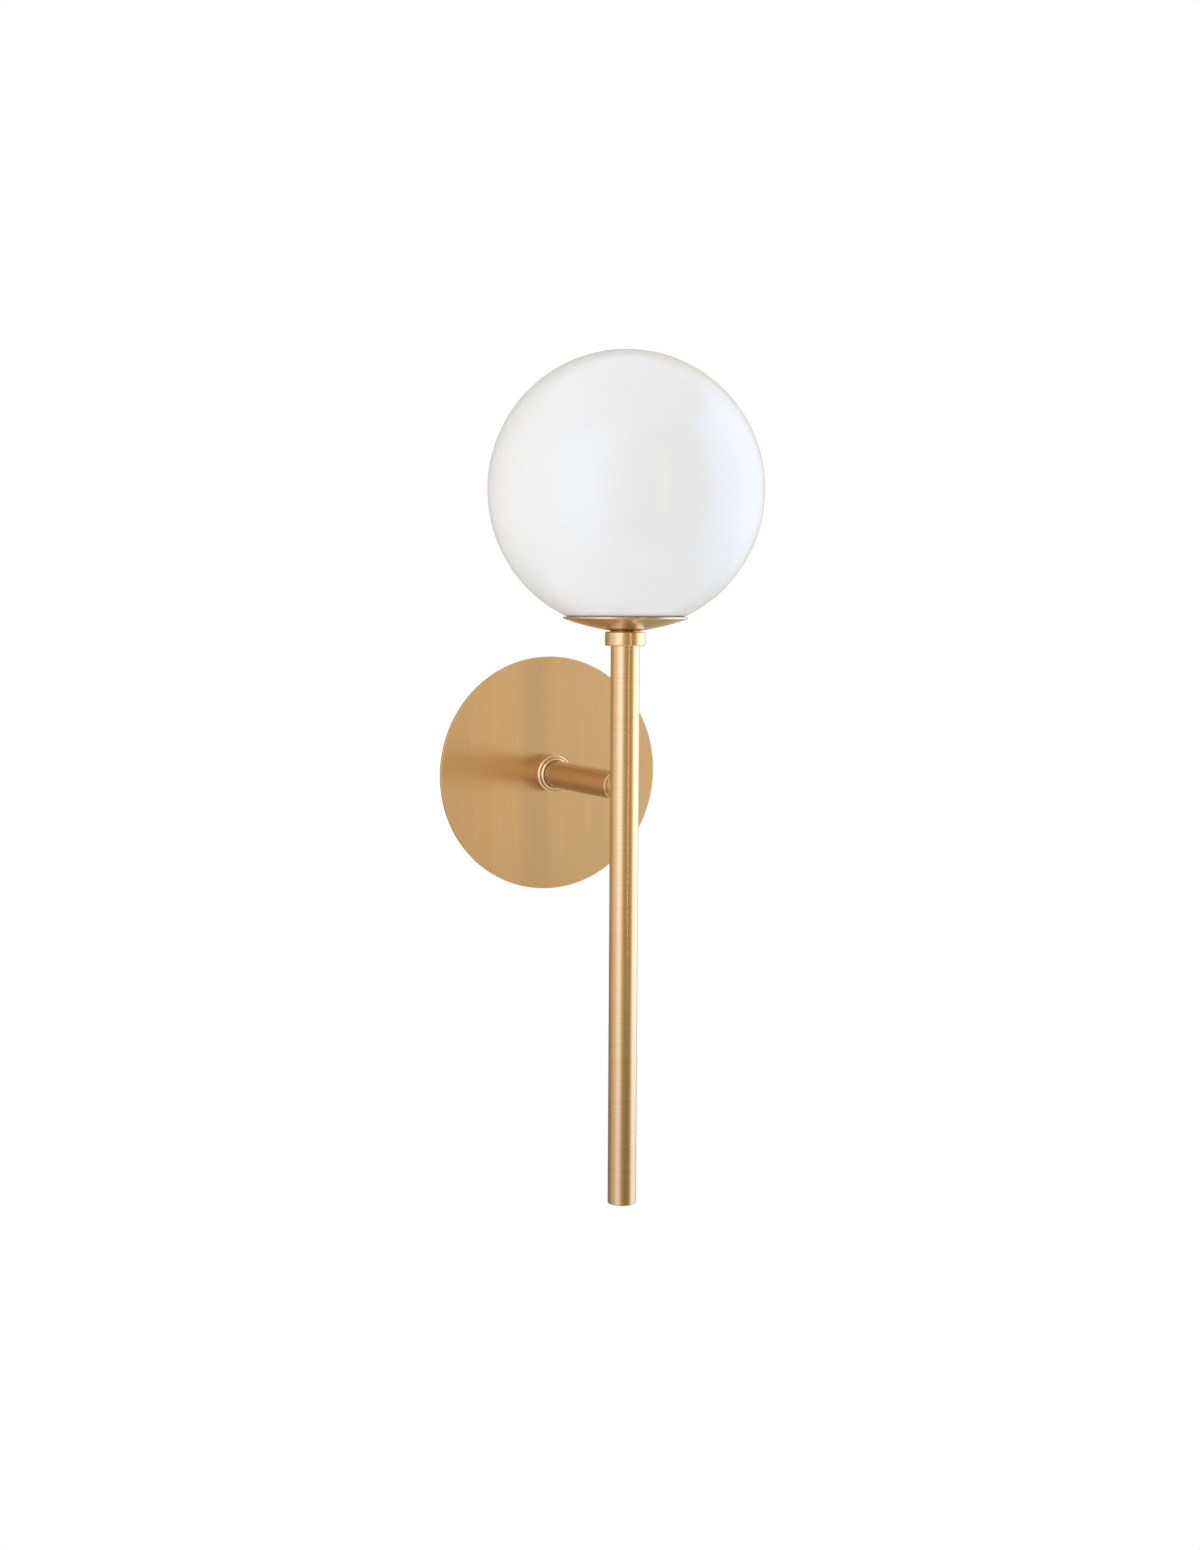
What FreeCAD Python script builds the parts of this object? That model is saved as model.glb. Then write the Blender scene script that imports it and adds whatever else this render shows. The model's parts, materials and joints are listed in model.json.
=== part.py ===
import FreeCAD, Part
import math
import os

import Sketcher

# Globe wall sconce. Millimetres. The origin is on the arm's axis in the wall plane, which is the
# backplate's back face. -Y points out of the wall, +Z up, and +X to the right as seen from the room.
# Heights are measured from the arm's axis, and depths from the wall plane.

SIZES = [
    # Backplate and slip collar
    ("plate_radius", 69.0, "radius of the round backplate"),
    ("plate_thick", 2.0, "thickness of the backplate"),
    ("plate_edge", 0.35, "bevel round the backplate's front edge"),
    ("plate_hole", 8.3, "radius of the plate's hole for the arm"),
    ("collar_radius", 11.0, "radius of the slip collar"),
    ("collar_length", 8.0, "length of the collar's wide part"),
    ("collar_bevel", 1.0, "bevel at the collar's front edge"),
    ("collar_bore", 8.05, "radius of the collar's bore, sliding on the arm"),
    ("lip_radius", 9.3, "radius of the collar's narrow front lip"),
    ("lip_length", 1.5, "length of the collar's front lip"),
    ("lip_round", 1.0, "rounding of the collar's front lip"),
    ("grub_radius", 1.5, "radius of the collar's socket screw"),
    ("grub_length", 2.5, "length of the collar's socket screw"),
    ("grub_gap", 0.15, "collar's bore to the tip of its screw"),
    ("grub_socket", 0.825, "corner radius of the screw's hexagon socket"),
    ("grub_socket_depth", 1.25, "depth of the screw's hexagon socket"),
    # Arm and stem
    ("reach", 102.0, "wall plane to the stem's axis"),
    ("tube_radius", 7.94, "outer radius of the 5/8 in tube"),
    ("tube_wall", 1.5, "wall of the tube"),
    ("tube_gap", 0.04, "gap between a plug and the tube round it"),
    ("thread_gap", 0.04, "gap between the plain stand-ins of a thread"),
    ("hole_gap", 0.1, "further gap of a clearance hole"),
    ("overrun", 1.0, "how far a cutter runs past a face, or a bar into its neighbour"),
    ("stem_drop", 232.7, "arm's axis to the stem's lower end"),
    ("plug_flange", 1.2, "thickness of the bottom plug's flange"),
    ("plug_round", 0.5, "rounding of the bottom plug's edge"),
    ("plug_spigot", 9.0, "length of the bottom plug inside the tube"),
    ("spigot_wall", 1.5, "wall of the bottom plug inside the tube"),
    ("core_half", 9.0, "half the length of the slug in the stem"),
    ("wire_way", 3.2, "radius of the upright wire passage in the slug"),
    ("way_depth", 3.0, "arm's axis down to the passage's lower end"),
    ("arm_nose_radius", 4.4, "flat middle of the arm's outer end, which meets the stem"),
    ("arm_end_fall", 1.7, "how far the arm's outer end falls back at its rim"),
    # Threaded tubes that tie the pieces together
    ("nipple_radius", 5.0, "outer radius of the M10 threaded tubes"),
    ("nipple_bore", 3.6, "bore radius of the M10 threaded tubes"),
    ("cross_radius", 4.0, "outer radius of the M8 threaded tube"),
    ("cross_bore", 2.6, "bore radius of the M8 threaded tube"),
    ("cross_entry", 3.4, "stem's axis to the M8 tube's tip"),
    ("cross_tip_gap", 0.05, "gap at the M8 tube's tip"),
    ("thread_short", 1.0, "how far short of a bush's end a threaded tube stops"),
    ("nipple_stand", 1.0, "length of the strap's tube past its back nut"),
    ("nipple_reach", 5.0, "length of the top tube inside the lampholder"),
    ("bush_length", 12.0, "length of the threaded plugs in the tubes"),
    # Strap and its fasteners
    ("wall_gap", 0.4, "wall plane to the front nut"),
    ("front_nut", 3.0, "height of the front nut"),
    ("front_flats", 17.0, "front nut, across its flats"),
    ("back_nut", 2.5, "height of the back nut"),
    ("back_flats", 14.0, "back nut and fixture nut, across the flats"),
    ("washer_thick", 0.8, "thickness of the washers"),
    ("washer_radius", 8.0, "outer radius of the washers"),
    ("strap_thick", 1.6, "thickness of the strap"),
    ("strap_half_width", 11.0, "half the strap's width"),
    ("strap_half_length", 55.0, "half the strap's length"),
    ("strap_corner", 4.0, "corner radius of the strap"),
    ("slot_half_spacing", 44.45, "arm's axis to a slot's centre, half of 3 1/2 in"),
    ("slot_half_width", 2.3, "half the slots' width"),
    ("slot_length", 13.0, "slots, end to end"),
    ("ground_height", 24.0, "height of the earth screw on the strap"),
    ("ground_radius", 2.05, "radius of the earth screw's shank"),
    ("ground_head", 4.2, "radius of the earth screw's head"),
    ("ground_head_height", 2.4, "height of the earth screw's head"),
    ("ground_slot", 1.0, "width and depth of the earth screw's slot"),
    ("ground_length", 9.0, "length of the earth screw's shank"),
    # Terminal block
    ("block_half_width", 10.0, "half the terminal block's width"),
    ("block_top", -16.0, "height of the block's upper face"),
    ("block_length", 19.0, "block, top to bottom"),
    ("block_depth", 13.0, "block, strap to back face"),
    ("pole_half_pitch", 5.2, "half the distance between the poles"),
    ("wire_depth", 13.5, "wall plane to the wires in the block"),
    ("insert_radius", 2.9, "outer radius of the brass wire tubes"),
    ("insert_bore", 1.6, "bore radius of the brass wire tubes"),
    ("insert_recess", 1.5, "block's face to the end of a wire tube"),
    ("insert_stop", 1.5, "thickness of the stop in the middle of a wire tube"),
    ("clamp_radius", 1.4, "radius of the clamp screws"),
    ("clamp_offset", 4.18, "block's middle to a clamp screw, up or down"),
    ("clamp_way_gap", 0.3, "gap round a clamp screw in the block"),
    ("clamp_tip_gap", 0.2, "a wire tube's bore to the tip of its clamp screw"),
    ("clamp_sink", 0.4, "block's back face down to the clamp screws"),
    ("clamp_slot_depth", 0.7, "depth of a clamp screw's slot"),
    ("clamp_slot_width", 0.5, "width of a clamp screw's slot"),
    ("fixing_radius", 1.5, "radius of the block's fixing screw"),
    ("fixing_head", 2.85, "radius of the fixing screw's head"),
    ("fixing_head_height", 1.8, "height of the fixing screw's head"),
    ("fixing_slot_depth", 0.9, "depth of the fixing screw's slot"),
    ("fixing_slot_width", 0.8, "width of the fixing screw's slot"),
    # Ring and dish under the globe
    ("ring_bottom", 77.3, "height of the top ring's lower face"),
    ("ring_height", 7.6, "height of the top ring"),
    ("ring_radius", 11.1, "radius of the top ring"),
    ("ring_bevel", 0.7, "bevels of the top ring"),
    ("ring_socket", 4.8, "depth of the ring's socket for the stem"),
    ("boss_radius", 9.0, "radius of the boss where it meets the dish"),
    ("boss_foot", 8.2, "radius of the boss where it meets the ring"),
    ("boss_cove", 0.8, "radius of the hollow curve round the boss"),
    ("boss_height", 0.8, "height of the boss under the dish"),
    ("boss_step", 0.15, "how far the curve starts below the boss's top"),
    ("dish_radius", 33.9, "radius of the dish"),
    ("dish_rise", 6.1, "rise of the dish's underside from boss to rim"),
    ("dish_sweep", 125.0, "radius of the underside's long curve"),
    ("rim_height", 1.1, "height of the dish's rim band"),
    ("rim_round", 0.4, "rounding under the rim band"),
    ("rim_ease", 0.2, "bevel at the rim band's top"),
    ("rim_wall", 1.3, "thickness of the rim at its top"),
    ("flare_width", 3.5, "edge of the seat to the foot of the rim"),
    ("flare_rise", 1.05, "seat up to the foot of the rim"),
    ("seat_radius", 23.5, "radius of the flat seat in the dish"),
    ("seat_height", 3.7, "underside at the boss to the seat"),
    # Globe
    ("globe_radius", 75.0, "outer radius of the glass globe"),
    ("globe_centre", 160.8, "height of the globe's centre"),
    ("glass_wall", 3.0, "thickness of the glass"),
    ("mouth_radius", 25.4, "radius of the globe's mouth"),
    ("mouth_round", 1.0, "width and height of the rounding under the mouth"),
    ("mouth_arc", 1.05, "radius of the rounding under the mouth"),
    ("mouth_bevel", 0.6, "width of the bevel inside the mouth"),
    ("mouth_bevel_height", 0.7, "height of the bevel inside the mouth"),
    ("carrier_radius", 22.0, "outer radius of the threaded cup"),
    ("carrier_wall", 1.8, "wall of the threaded cup"),
    ("carrier_base", 2.0, "thickness of the cup's base"),
    ("carrier_height", 11.6, "height of the threaded cup"),
    ("screw_gap", 0.3, "gap between the cup and the globe's ring"),
    ("ring_outer", 25.0, "outer radius of the globe's ring"),
    ("ring_lift", 1.2, "dish seat to the ring's lower end"),
    ("ring_lip", 1.8, "thickness of the ring's lip"),
    ("ring_throat", 19.0, "radius of the opening in the ring's lip"),
    ("gasket_thick", 0.8, "thickness of the gasket"),
    ("gasket_overhang", 0.6, "cup's bore to the gasket's inner edge"),
    ("bead_gap", 0.1, "mouth's rounding to the adhesive's lower end"),
    ("bead_height", 98.0, "height of the adhesive bead's top"),
    ("bead_radius", 29.0, "radius of the adhesive bead on the glass"),
    # Lampholder
    ("holder_base", 95.7, "height of the lampholder's lower end"),
    ("holder_neck", 7.5, "radius of the holder's threaded neck"),
    ("neck_height", 2.8, "height of the neck"),
    ("neck_wall", 1.0, "wall of the neck"),
    ("cap_radius", 13.2, "outer radius of the holder's cap"),
    ("cap_height", 14.3, "height of the holder's cap"),
    ("cap_shoulder", 7.3, "height at which the cap reaches its full radius"),
    ("cap_floor", 0.8, "thickness of the cap's floor over the neck"),
    ("cap_bore_rise", 0.6, "cap's shoulder up to the foot of its bore"),
    ("holder_wall", 1.2, "wall of the holder's cap and body"),
    ("holder_radius", 14.2, "outer radius of the holder's body"),
    ("holder_length", 41.3, "lampholder, end to end"),
    ("body_overlap", 4.0, "overlap of the holder's body on its cap"),
    ("body_shelf", 1.0, "cap's rim up to the step in the body"),
    ("body_top", 1.4, "thickness of the body's top"),
    ("body_bevel", 0.8, "bevel round the body's top"),
    ("body_throat", 8.3, "radius of the opening in the body's top"),
    ("seam_gap", 0.15, "gap between the holder's cap and body"),
    ("insert_plate", 7.0, "height of the holder's contact carrier"),
    ("insert_drop", 6.3, "lamp's contact down to the carrier's underside"),
    ("insert_gap", 0.2, "gap round the contact carrier"),
    ("well_radius", 5.2, "radius of the well over the carrier's floor"),
    ("well_floor", 3.5, "thickness of the carrier under the well"),
    ("terminal_offset", 8.0, "holder's axis to its wire terminals"),
    ("terminal_rise", 2.0, "carrier's underside to its screws"),
    ("terminal_depth", 4.5, "depth of the carrier's wire ways"),
    ("terminal_gap", 0.2, "gap round a wire in its way"),
    ("terminal_screw", 1.2, "radius of the lampholder's wire screws"),
    ("terminal_tip_gap", 0.3, "wire to the tip of its screw"),
    ("terminal_sink", 0.2, "carrier's side down to a wire screw's end"),
    ("shell_bore", 7.05, "bore of the lampholder's screw shell"),
    ("shell_wall", 0.4, "wall of the lampholder's screw shell"),
    ("shell_foot", 2.5, "width of the screw shell's foot"),
    ("shell_foot_thick", 0.5, "thickness of the screw shell's foot"),
    ("shell_sink", 2.5, "holder's top down to the screw shell's rim"),
    ("tongue_length", 6.4, "length of the sprung tongue"),
    ("tongue_width", 4.0, "width of the sprung tongue"),
    ("tongue_thick", 0.5, "thickness of the sprung tongue"),
    ("pip_height", 0.9, "height of the raised pip, from the tongue's underside"),
    ("pip_foot", 1.4, "radius of the raised pip's foot"),
    ("pip_top", 0.9, "radius of the raised pip's top"),
    # Lamp
    ("lamp_tip", 113.3, "height of the lamp's contact"),
    ("cap_screw", 6.75, "radius of the lamp's screw cap"),
    ("screw_rise", 3.7, "lamp's contact up to its screw cap"),
    ("screw_wall", 0.3, "wall of the lamp's screw cap"),
    ("screw_overlap", 1.6, "screw cap inside the lamp's skirt"),
    ("tip_height", 1.2, "height of the lamp's contact"),
    ("tip_flat", 1.5, "radius of the contact's flat end"),
    ("tip_radius", 2.5, "radius of the lamp's contact"),
    ("tip_edge", 0.7, "height at which the contact reaches its radius"),
    ("insulator_foot", 3.0, "radius of the black glass at the contact"),
    ("insulator_inset", 0.4, "screw cap's outside to the black glass"),
    ("insulator_depth", 1.5, "black glass inside the screw cap"),
    ("lamp_length", 98.0, "lamp, end to end"),
    ("lamp_radius", 17.3, "largest radius of the lamp"),
    ("lamp_wall", 1.0, "wall of the lamp's bulb"),
    ("skirt_rise", 24.3, "lamp's contact up to its skirt"),
    ("skirt_gap", 0.05, "gap between the screw cap and the skirt"),
    ("skirt_foot", 7.6, "radius of the skirt's lower end"),
    ("skirt_waist", 9.6, "radius of the skirt where it steepens"),
    ("skirt_waist_height", 2.4, "skirt's lower end up to where it steepens"),
    ("skirt_mouth", 12.0, "radius of the skirt's upper edge"),
    ("skirt_bore", 10.9, "bore of the skirt over its deck"),
    ("skirt_lip", 4.0, "deck up to the skirt's upper edge"),
    ("skirt_inside", 8.6, "radius of the skirt's inside at its waist"),
    ("skirt_inside_height", 3.9, "skirt's lower end up to its inside's waist"),
    ("skirt_throat_height", 1.9, "height of the grip round the screw cap"),
    ("deck_rise", 10.9, "skirt's lower end up to its deck"),
    ("deck_thick", 1.5, "thickness of the deck"),
    ("bulb_gap", 0.1, "gap between the deck and the bulb"),
    ("bulb_neck", 10.8, "radius of the bulb's neck"),
    ("bulb_neck_height", 4.2, "height of the bulb's neck"),
    ("bulb_belly", 22.4, "deck up to the middle of the bulb's ball"),
    ("bulb_point", 3.0, "radius of the bulb's rounded point"),
    ("disc_rise", 14.0, "deck up to the lower disc"),
    ("disc_spacing", 31.0, "lower disc up to the upper disc"),
    ("disc_radius", 7.5, "radius of the discs"),
    ("disc_thick", 1.0, "thickness of the discs"),
    ("spindle_foot", 5.0, "radius of the spindle's foot"),
    ("spindle_waist", 2.5, "radius of the spindle under the lower disc"),
    ("spindle_flare", 3.0, "height over which the spindle widens to the disc"),
    ("spindle_radius", 1.2, "radius of the spindle between the discs"),
    ("filament_radius", 1.0, "radius of a light strip"),
    ("filament_ring", 6.0, "lamp's axis to a light strip"),
    # Wires
    ("lead_radius", 0.9, "radius of a wire with its insulation"),
    ("lead_offset", 1.0, "tube's axis to a wire's axis"),
    ("lead_grip", 6.0, "length of a wire inside the terminal block"),
    ("lead_rise", 4.0, "block's upper face to a wire's first bend"),
    ("lead_drop", 5.0, "arm's axis down to where a wire turns upright again"),
    ("lead_lift", 6.5, "lampholder's end up to where a wire turns outward"),
    ("lead_spread", 4.2, "height over which a wire turns outward"),
    ("lead_entry", 4.0, "length of a wire inside the contact carrier"),
]


class Size:
    """A length that knows its value in millimetres and its formula in the sheet's words."""

    def __init__(self, value, formula):
        self.value = value
        self.formula = formula

    def __add__(self, other):
        other = as_size(other)
        return Size(self.value + other.value, f"({self.formula} + {other.formula})")

    def __sub__(self, other):
        other = as_size(other)
        return Size(self.value - other.value, f"({self.formula} - {other.formula})")

    def __mul__(self, other):
        other = as_size(other)
        return Size(self.value * other.value, f"({self.formula} * {other.formula})")

    def __truediv__(self, other):
        other = as_size(other)
        return Size(self.value / other.value, f"({self.formula} / {other.formula})")

    def __neg__(self):
        return Size(-self.value, f"(0 - {self.formula})")

    def root(self):
        return Size(math.sqrt(self.value), f"sqrt({self.formula})")


def as_size(amount):
    if isinstance(amount, Size):
        return amount
    return Size(float(amount), f"({float(amount):.6f})")


class Sheet:
    """The named driving dimensions, kept in the document's spreadsheet."""

    def __init__(self, document):
        table = document.addObject("Spreadsheet::Sheet", "Sizes")
        for row, (alias, number, note) in enumerate(SIZES, start=1):
            table.set(f"A{row}", alias)
            table.set(f"B{row}", str(number))
            table.set(f"C{row}", note)
            table.setAlias(f"B{row}", alias)
            setattr(self, alias, Size(number, f"Sizes.{alias}"))


doc = FreeCAD.newDocument("GlobeWallSconce")
size = Sheet(doc)
doc.recompute()
subparts = []


# Shared ways of making a piece

def new_body(label):
    """Starts a piece and puts it on the list of pieces."""
    body = doc.addObject("PartDesign::Body", label)
    body.Label = label
    subparts.append(body)
    return body


def new_sketch(body, role, offset=None):
    """Adds a sketch on one of the body's own planes, moved along its normal by the offset."""
    sketch = body.newObject("Sketcher::SketchObject", "Outline")
    plane = [item for item in body.Origin.OriginFeatures if item.Role == role][0]
    sketch.AttachmentSupport = [(plane, "")]
    sketch.MapMode = "FlatFace"
    if offset is not None:
        sketch.setExpression("AttachmentOffset.Base.z", offset.formula)
    return sketch


def tie_point(sketch, curve, end, across, upward):
    """Holds one end of a sketch curve at its place from the sheet."""
    for amount, rule, axis in ((across, "DistanceX", -2), (upward, "DistanceY", -1)):
        if amount.value == 0:
            sketch.addConstraint(Sketcher.Constraint("PointOnObject", curve, end, axis))
        else:
            held = Sketcher.Constraint(rule, -1, 1, curve, end, amount.value)
            index = sketch.addConstraint(held)
            sketch.setExpression(f"Constraints[{index}]", amount.formula)


def arc_between(start, end, radius, turn):
    """Gives the arc under half a circle from start to end that turns left (1) or right (-1)."""
    chord = end.sub(start)
    half = chord.Length / 2
    rise = math.sqrt(max(radius * radius - half * half, 0.0))
    normal = FreeCAD.Vector(-chord.y, chord.x, 0).normalize()
    centre = start.add(end).multiply(0.5).add(normal.multiply(rise * turn))
    first, last = (start, end) if turn > 0 else (end, start)
    begin_angle = math.atan2(first.y - centre.y, first.x - centre.x)
    end_angle = math.atan2(last.y - centre.y, last.x - centre.x)
    if end_angle <= begin_angle:
        end_angle += 2 * math.pi
    circle = Part.Circle(centre, FreeCAD.Vector(0, 0, 1), radius)
    return Part.ArcOfCircle(circle, begin_angle, end_angle)


def draw_outline(sketch, corners):
    """Draws one closed loop through the corners.

    A corner is (across, upward) for a straight side to the next corner, or
    (across, upward, turn, radius) for an arc that turns left (1) or right (-1).
    """
    points = [FreeCAD.Vector(as_size(c[0]).value, as_size(c[1]).value, 0) for c in corners]
    ends = []
    for index, corner in enumerate(corners):
        start = points[index]
        end = points[(index + 1) % len(points)]
        if len(corner) == 2:
            curve = sketch.addGeometry(Part.LineSegment(start, end))
            ends.append((curve, 1, 2))
        else:
            turn, radius = corner[2], as_size(corner[3])
            curve = sketch.addGeometry(arc_between(start, end, radius.value, turn))
            ends.append((curve, 1, 2) if turn > 0 else (curve, 2, 1))
    for index, (curve, start, end) in enumerate(ends):
        following = ends[(index + 1) % len(ends)]
        sketch.addConstraint(
            Sketcher.Constraint("Coincident", curve, end, following[0], following[1]))
        tie_point(sketch, curve, start, as_size(corners[index][0]), as_size(corners[index][1]))
        if len(corners[index]) == 4:
            radius = as_size(corners[index][3])
            held_index = sketch.addConstraint(Sketcher.Constraint("Radius", curve, radius.value))
            sketch.setExpression(f"Constraints[{held_index}]", radius.formula)


def draw_circle(sketch, across, upward, radius):
    """Draws one circle whose centre and radius come from the sheet."""
    across, upward, radius = as_size(across), as_size(upward), as_size(radius)
    centre = FreeCAD.Vector(across.value, upward.value, 0)
    circle = Part.Circle(centre, FreeCAD.Vector(0, 0, 1), radius.value)
    curve = sketch.addGeometry(circle)
    tie_point(sketch, curve, 3, across, upward)
    held_index = sketch.addConstraint(Sketcher.Constraint("Radius", curve, radius.value))
    sketch.setExpression(f"Constraints[{held_index}]", radius.formula)


def turn_profile(body, role, corners):
    """Turns an outline of (radius, distance along the axis) corners about the body's axis."""
    sketch = new_sketch(body, role)
    draw_outline(sketch, corners)
    turned = body.newObject("PartDesign::Revolution", "Turned")
    turned.Profile = sketch
    turned.ReferenceAxis = (sketch, ["V_Axis"])
    turned.Angle = 360
    sketch.Visibility = False
    doc.recompute()


def turned_upright(label, corners):
    """Makes a turned piece on the stem's axis from (radius, height) corners."""
    body = new_body(label)
    turn_profile(body, "XZ_Plane", corners)
    body.setExpression("Placement.Base.y", (-size.reach).formula)
    return body


def turned_level(label, corners):
    """Makes a turned piece on the arm's axis from (radius, depth) corners."""
    body = new_body(label)
    turn_profile(body, "XY_Plane", corners)
    return body


def tube_corners(inner, outer, low, high):
    """Gives the outline of a plain tube, or of a plain bar where inner is 0."""
    return [(inner, low), (outer, low), (outer, high), (inner, high)]


def cut_round(body, role, offset, reversed_way, length, circles):
    """Cuts round holes into a body and makes sure that they removed material."""
    before = body.Shape.Volume
    sketch = new_sketch(body, role, offset)
    for across, upward, radius in circles:
        draw_circle(sketch, across, upward, radius)
    pocket = body.newObject("PartDesign::Pocket", "Holes")
    pocket.Profile = sketch
    pocket.Reversed = reversed_way
    pocket.setExpression("Length", as_size(length).formula)
    sketch.Visibility = False
    doc.recompute()
    if body.Shape.Volume >= before - 0.01:
        raise RuntimeError(f"{body.Label}: a hole removed nothing")


def level_plate(label, outlines, circles, front, back):
    """Makes a plate square to the arm's axis between two depths, with holes through it."""
    body = new_body(label)
    sketch = new_sketch(body, "XZ_Plane", -as_size(back))
    for corners in outlines:
        draw_outline(sketch, corners)
    for across, upward, radius in circles:
        draw_circle(sketch, across, upward, radius)
    pad = body.newObject("PartDesign::Pad", "Plate")
    pad.Profile = sketch
    pad.setExpression("Length", (as_size(back) - as_size(front)).formula)
    sketch.Visibility = False
    doc.recompute()
    return body


def hexagon(flats):
    """Gives the six corners of a hexagon from its size across the flats."""
    corner_radius = flats * (1 / math.sqrt(3))
    turns = [math.radians(60 * step + 30) for step in range(6)]
    return [(corner_radius * math.cos(a), corner_radius * math.sin(a)) for a in turns]


def rounded_box(half_width, half_height, corner):
    """Gives a rectangle about the axis with rounded corners."""
    x, y, r = half_width, half_height, corner
    return [
        (x, -(y - r)), (x, y - r, 1, r), (x - r, y), (-(x - r), y, 1, r),
        (-x, y - r), (-x, -(y - r), 1, r), (-(x - r), -y), (x - r, -y, 1, r),
    ]


def upright_slot(centre, half_width, length):
    """Gives an upright slot with round ends, its middle at the height given."""
    straight = length * 0.5 - half_width
    low = centre - straight
    high = centre + straight
    return [
        (half_width, low), (half_width, high, 1, half_width),
        (0, high + half_width, 1, half_width), (-half_width, high),
        (-half_width, low, 1, half_width), (0, low - half_width, 1, half_width),
    ]


def primitive(kind, name, sizes, base=(0, 0, 0), turn=None):
    """Adds a Part primitive with its sizes and its place bound to the sheet."""
    solid = doc.addObject(kind, name)
    for field, amount in sizes.items():
        solid.setExpression(field, as_size(amount).formula)
    if turn is not None:
        axis, angle = turn
        solid.Placement = FreeCAD.Placement(FreeCAD.Vector(), FreeCAD.Rotation(axis, angle))
    for field, amount in zip("xyz", base):
        solid.setExpression(f"Placement.Base.{field}", as_size(amount).formula)
    return solid


def bar_along(direction, name, radius, base, length):
    """Adds a round bar that starts at base and runs along +X, +Y or +Z."""
    turns = {
        "X": (FreeCAD.Vector(0, 1, 0), 90),
        "Y": (FreeCAD.Vector(1, 0, 0), -90),
        "Z": None,
    }
    return primitive("Part::Cylinder", name, {"Radius": radius, "Height": length},
                     base, turns[direction])


def join(name, pieces):
    """Adds the union of several solids, or groups them where they stand apart."""
    union = doc.addObject("Part::MultiFuse", name)
    union.Shapes = pieces
    return union


def carve(label, base, tools):
    """Makes a piece from a base solid less the tools, and puts it on the list of pieces."""
    piece = doc.addObject("Part::Cut", label)
    piece.Label = label
    piece.Base = base
    piece.Tool = tools[0] if len(tools) == 1 else join(f"{label}_tools", tools)
    subparts.append(piece)
    return piece


def listed(label, piece):
    """Names a finished solid or group and puts it on the list of pieces."""
    piece.Label = label
    subparts.append(piece)
    return piece


# Depths behind the wall plane, each stacked on the one before

strap_front = size.wall_gap + size.front_nut
strap_back = strap_front + size.strap_thick
washer_back = strap_back + size.washer_thick
nut_back = washer_back + size.back_nut
nipple_end = nut_back + size.nipple_stand

# Radii of the tubes' insides and of the plugs that fill them

tube_bore = size.tube_radius - size.tube_wall
plug_radius = tube_bore - size.tube_gap
nipple_hole = size.nipple_radius + size.thread_gap
cross_hole = size.cross_radius + size.thread_gap

# Heights of the stack under the globe, each stacked on the one before

ring_top = size.ring_bottom + size.ring_height
stem_top = size.ring_bottom + size.ring_socket
dish_under = ring_top + size.boss_height
dish_seat = dish_under + size.seat_height
cup_floor = dish_seat + size.carrier_base
cup_top = dish_seat + size.carrier_height
nut_floor = cup_floor + size.washer_thick


# Wall side

def make_backplate():
    edge = size.plate_edge
    turned_level("backplate", [
        (size.plate_hole, -size.plate_thick),
        (size.plate_radius - edge, -size.plate_thick),
        (size.plate_radius, edge - size.plate_thick),
        (size.plate_radius, 0),
        (size.plate_hole, 0),
    ])


def make_slip_collar():
    """A stepped collar, with a tapped hole from below for its screw."""
    back = -size.plate_thick
    step = back - size.collar_length
    front = step - size.lip_length
    body = turned_level("slip_collar", [
        (size.collar_bore, back),
        (size.collar_bore, front),
        (size.lip_radius - size.lip_round, front, 1, size.lip_round),
        (size.lip_radius, front + size.lip_round),
        (size.lip_radius, step),
        (size.collar_radius - size.collar_bevel, step),
        (size.collar_radius, step + size.collar_bevel),
        (size.collar_radius, back),
    ])
    screw_depth = back - size.collar_length * 0.5
    screw_hole = (0, screw_depth, size.grub_radius + size.thread_gap)
    cut_round(body, "XY_Plane", None, False, size.collar_radius + size.overrun, [screw_hole])


def make_collar_grub_screw():
    """A headless screw in the collar's underside, with a hexagon socket."""
    depth = -size.plate_thick - size.collar_length * 0.5
    tip = -(size.collar_bore + size.grub_gap)
    outer = tip - size.grub_length
    screw = bar_along("Z", "grub_bar", size.grub_radius, (0, depth, outer), size.grub_length)
    socket = primitive("Part::Prism", "grub_socket",
                       {"Circumradius": size.grub_socket, "Height": size.grub_socket_depth},
                       (0, depth, outer))
    socket.Polygon = 6
    carve("collar_grub_screw", screw, [socket])


def make_mounting_strap():
    slots = [
        upright_slot(size.slot_half_spacing * side, size.slot_half_width, size.slot_length)
        for side in (1, -1)
    ]
    plate = rounded_box(size.strap_half_width, size.strap_half_length, size.strap_corner)
    block_middle = size.block_top - size.block_length * 0.5
    holes = [
        (0, 0, nipple_hole + size.hole_gap),
        (0, size.ground_height, size.ground_radius + size.thread_gap),
        (0, block_middle, size.fixing_radius + size.thread_gap),
    ]
    level_plate("mounting_strap", [plate] + slots, holes, strap_front, strap_back)


def make_strap_fasteners():
    """The hollow tube through the strap, with a nut in front and a washer and nut behind."""
    depth = size.bush_length - size.thread_short
    turned_level("strap_nipple", tube_corners(size.nipple_bore, size.nipple_radius, -depth,
                                              nipple_end))
    hole = [(0, 0, nipple_hole)]
    level_plate("strap_front_nut", [hexagon(size.front_flats)], hole, size.wall_gap, strap_front)
    turned_level("strap_lock_washer", tube_corners(nipple_hole + size.hole_gap,
                                                   size.washer_radius, strap_back, washer_back))
    level_plate("strap_back_nut", [hexagon(size.back_flats)], hole, washer_back, nut_back)


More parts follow.
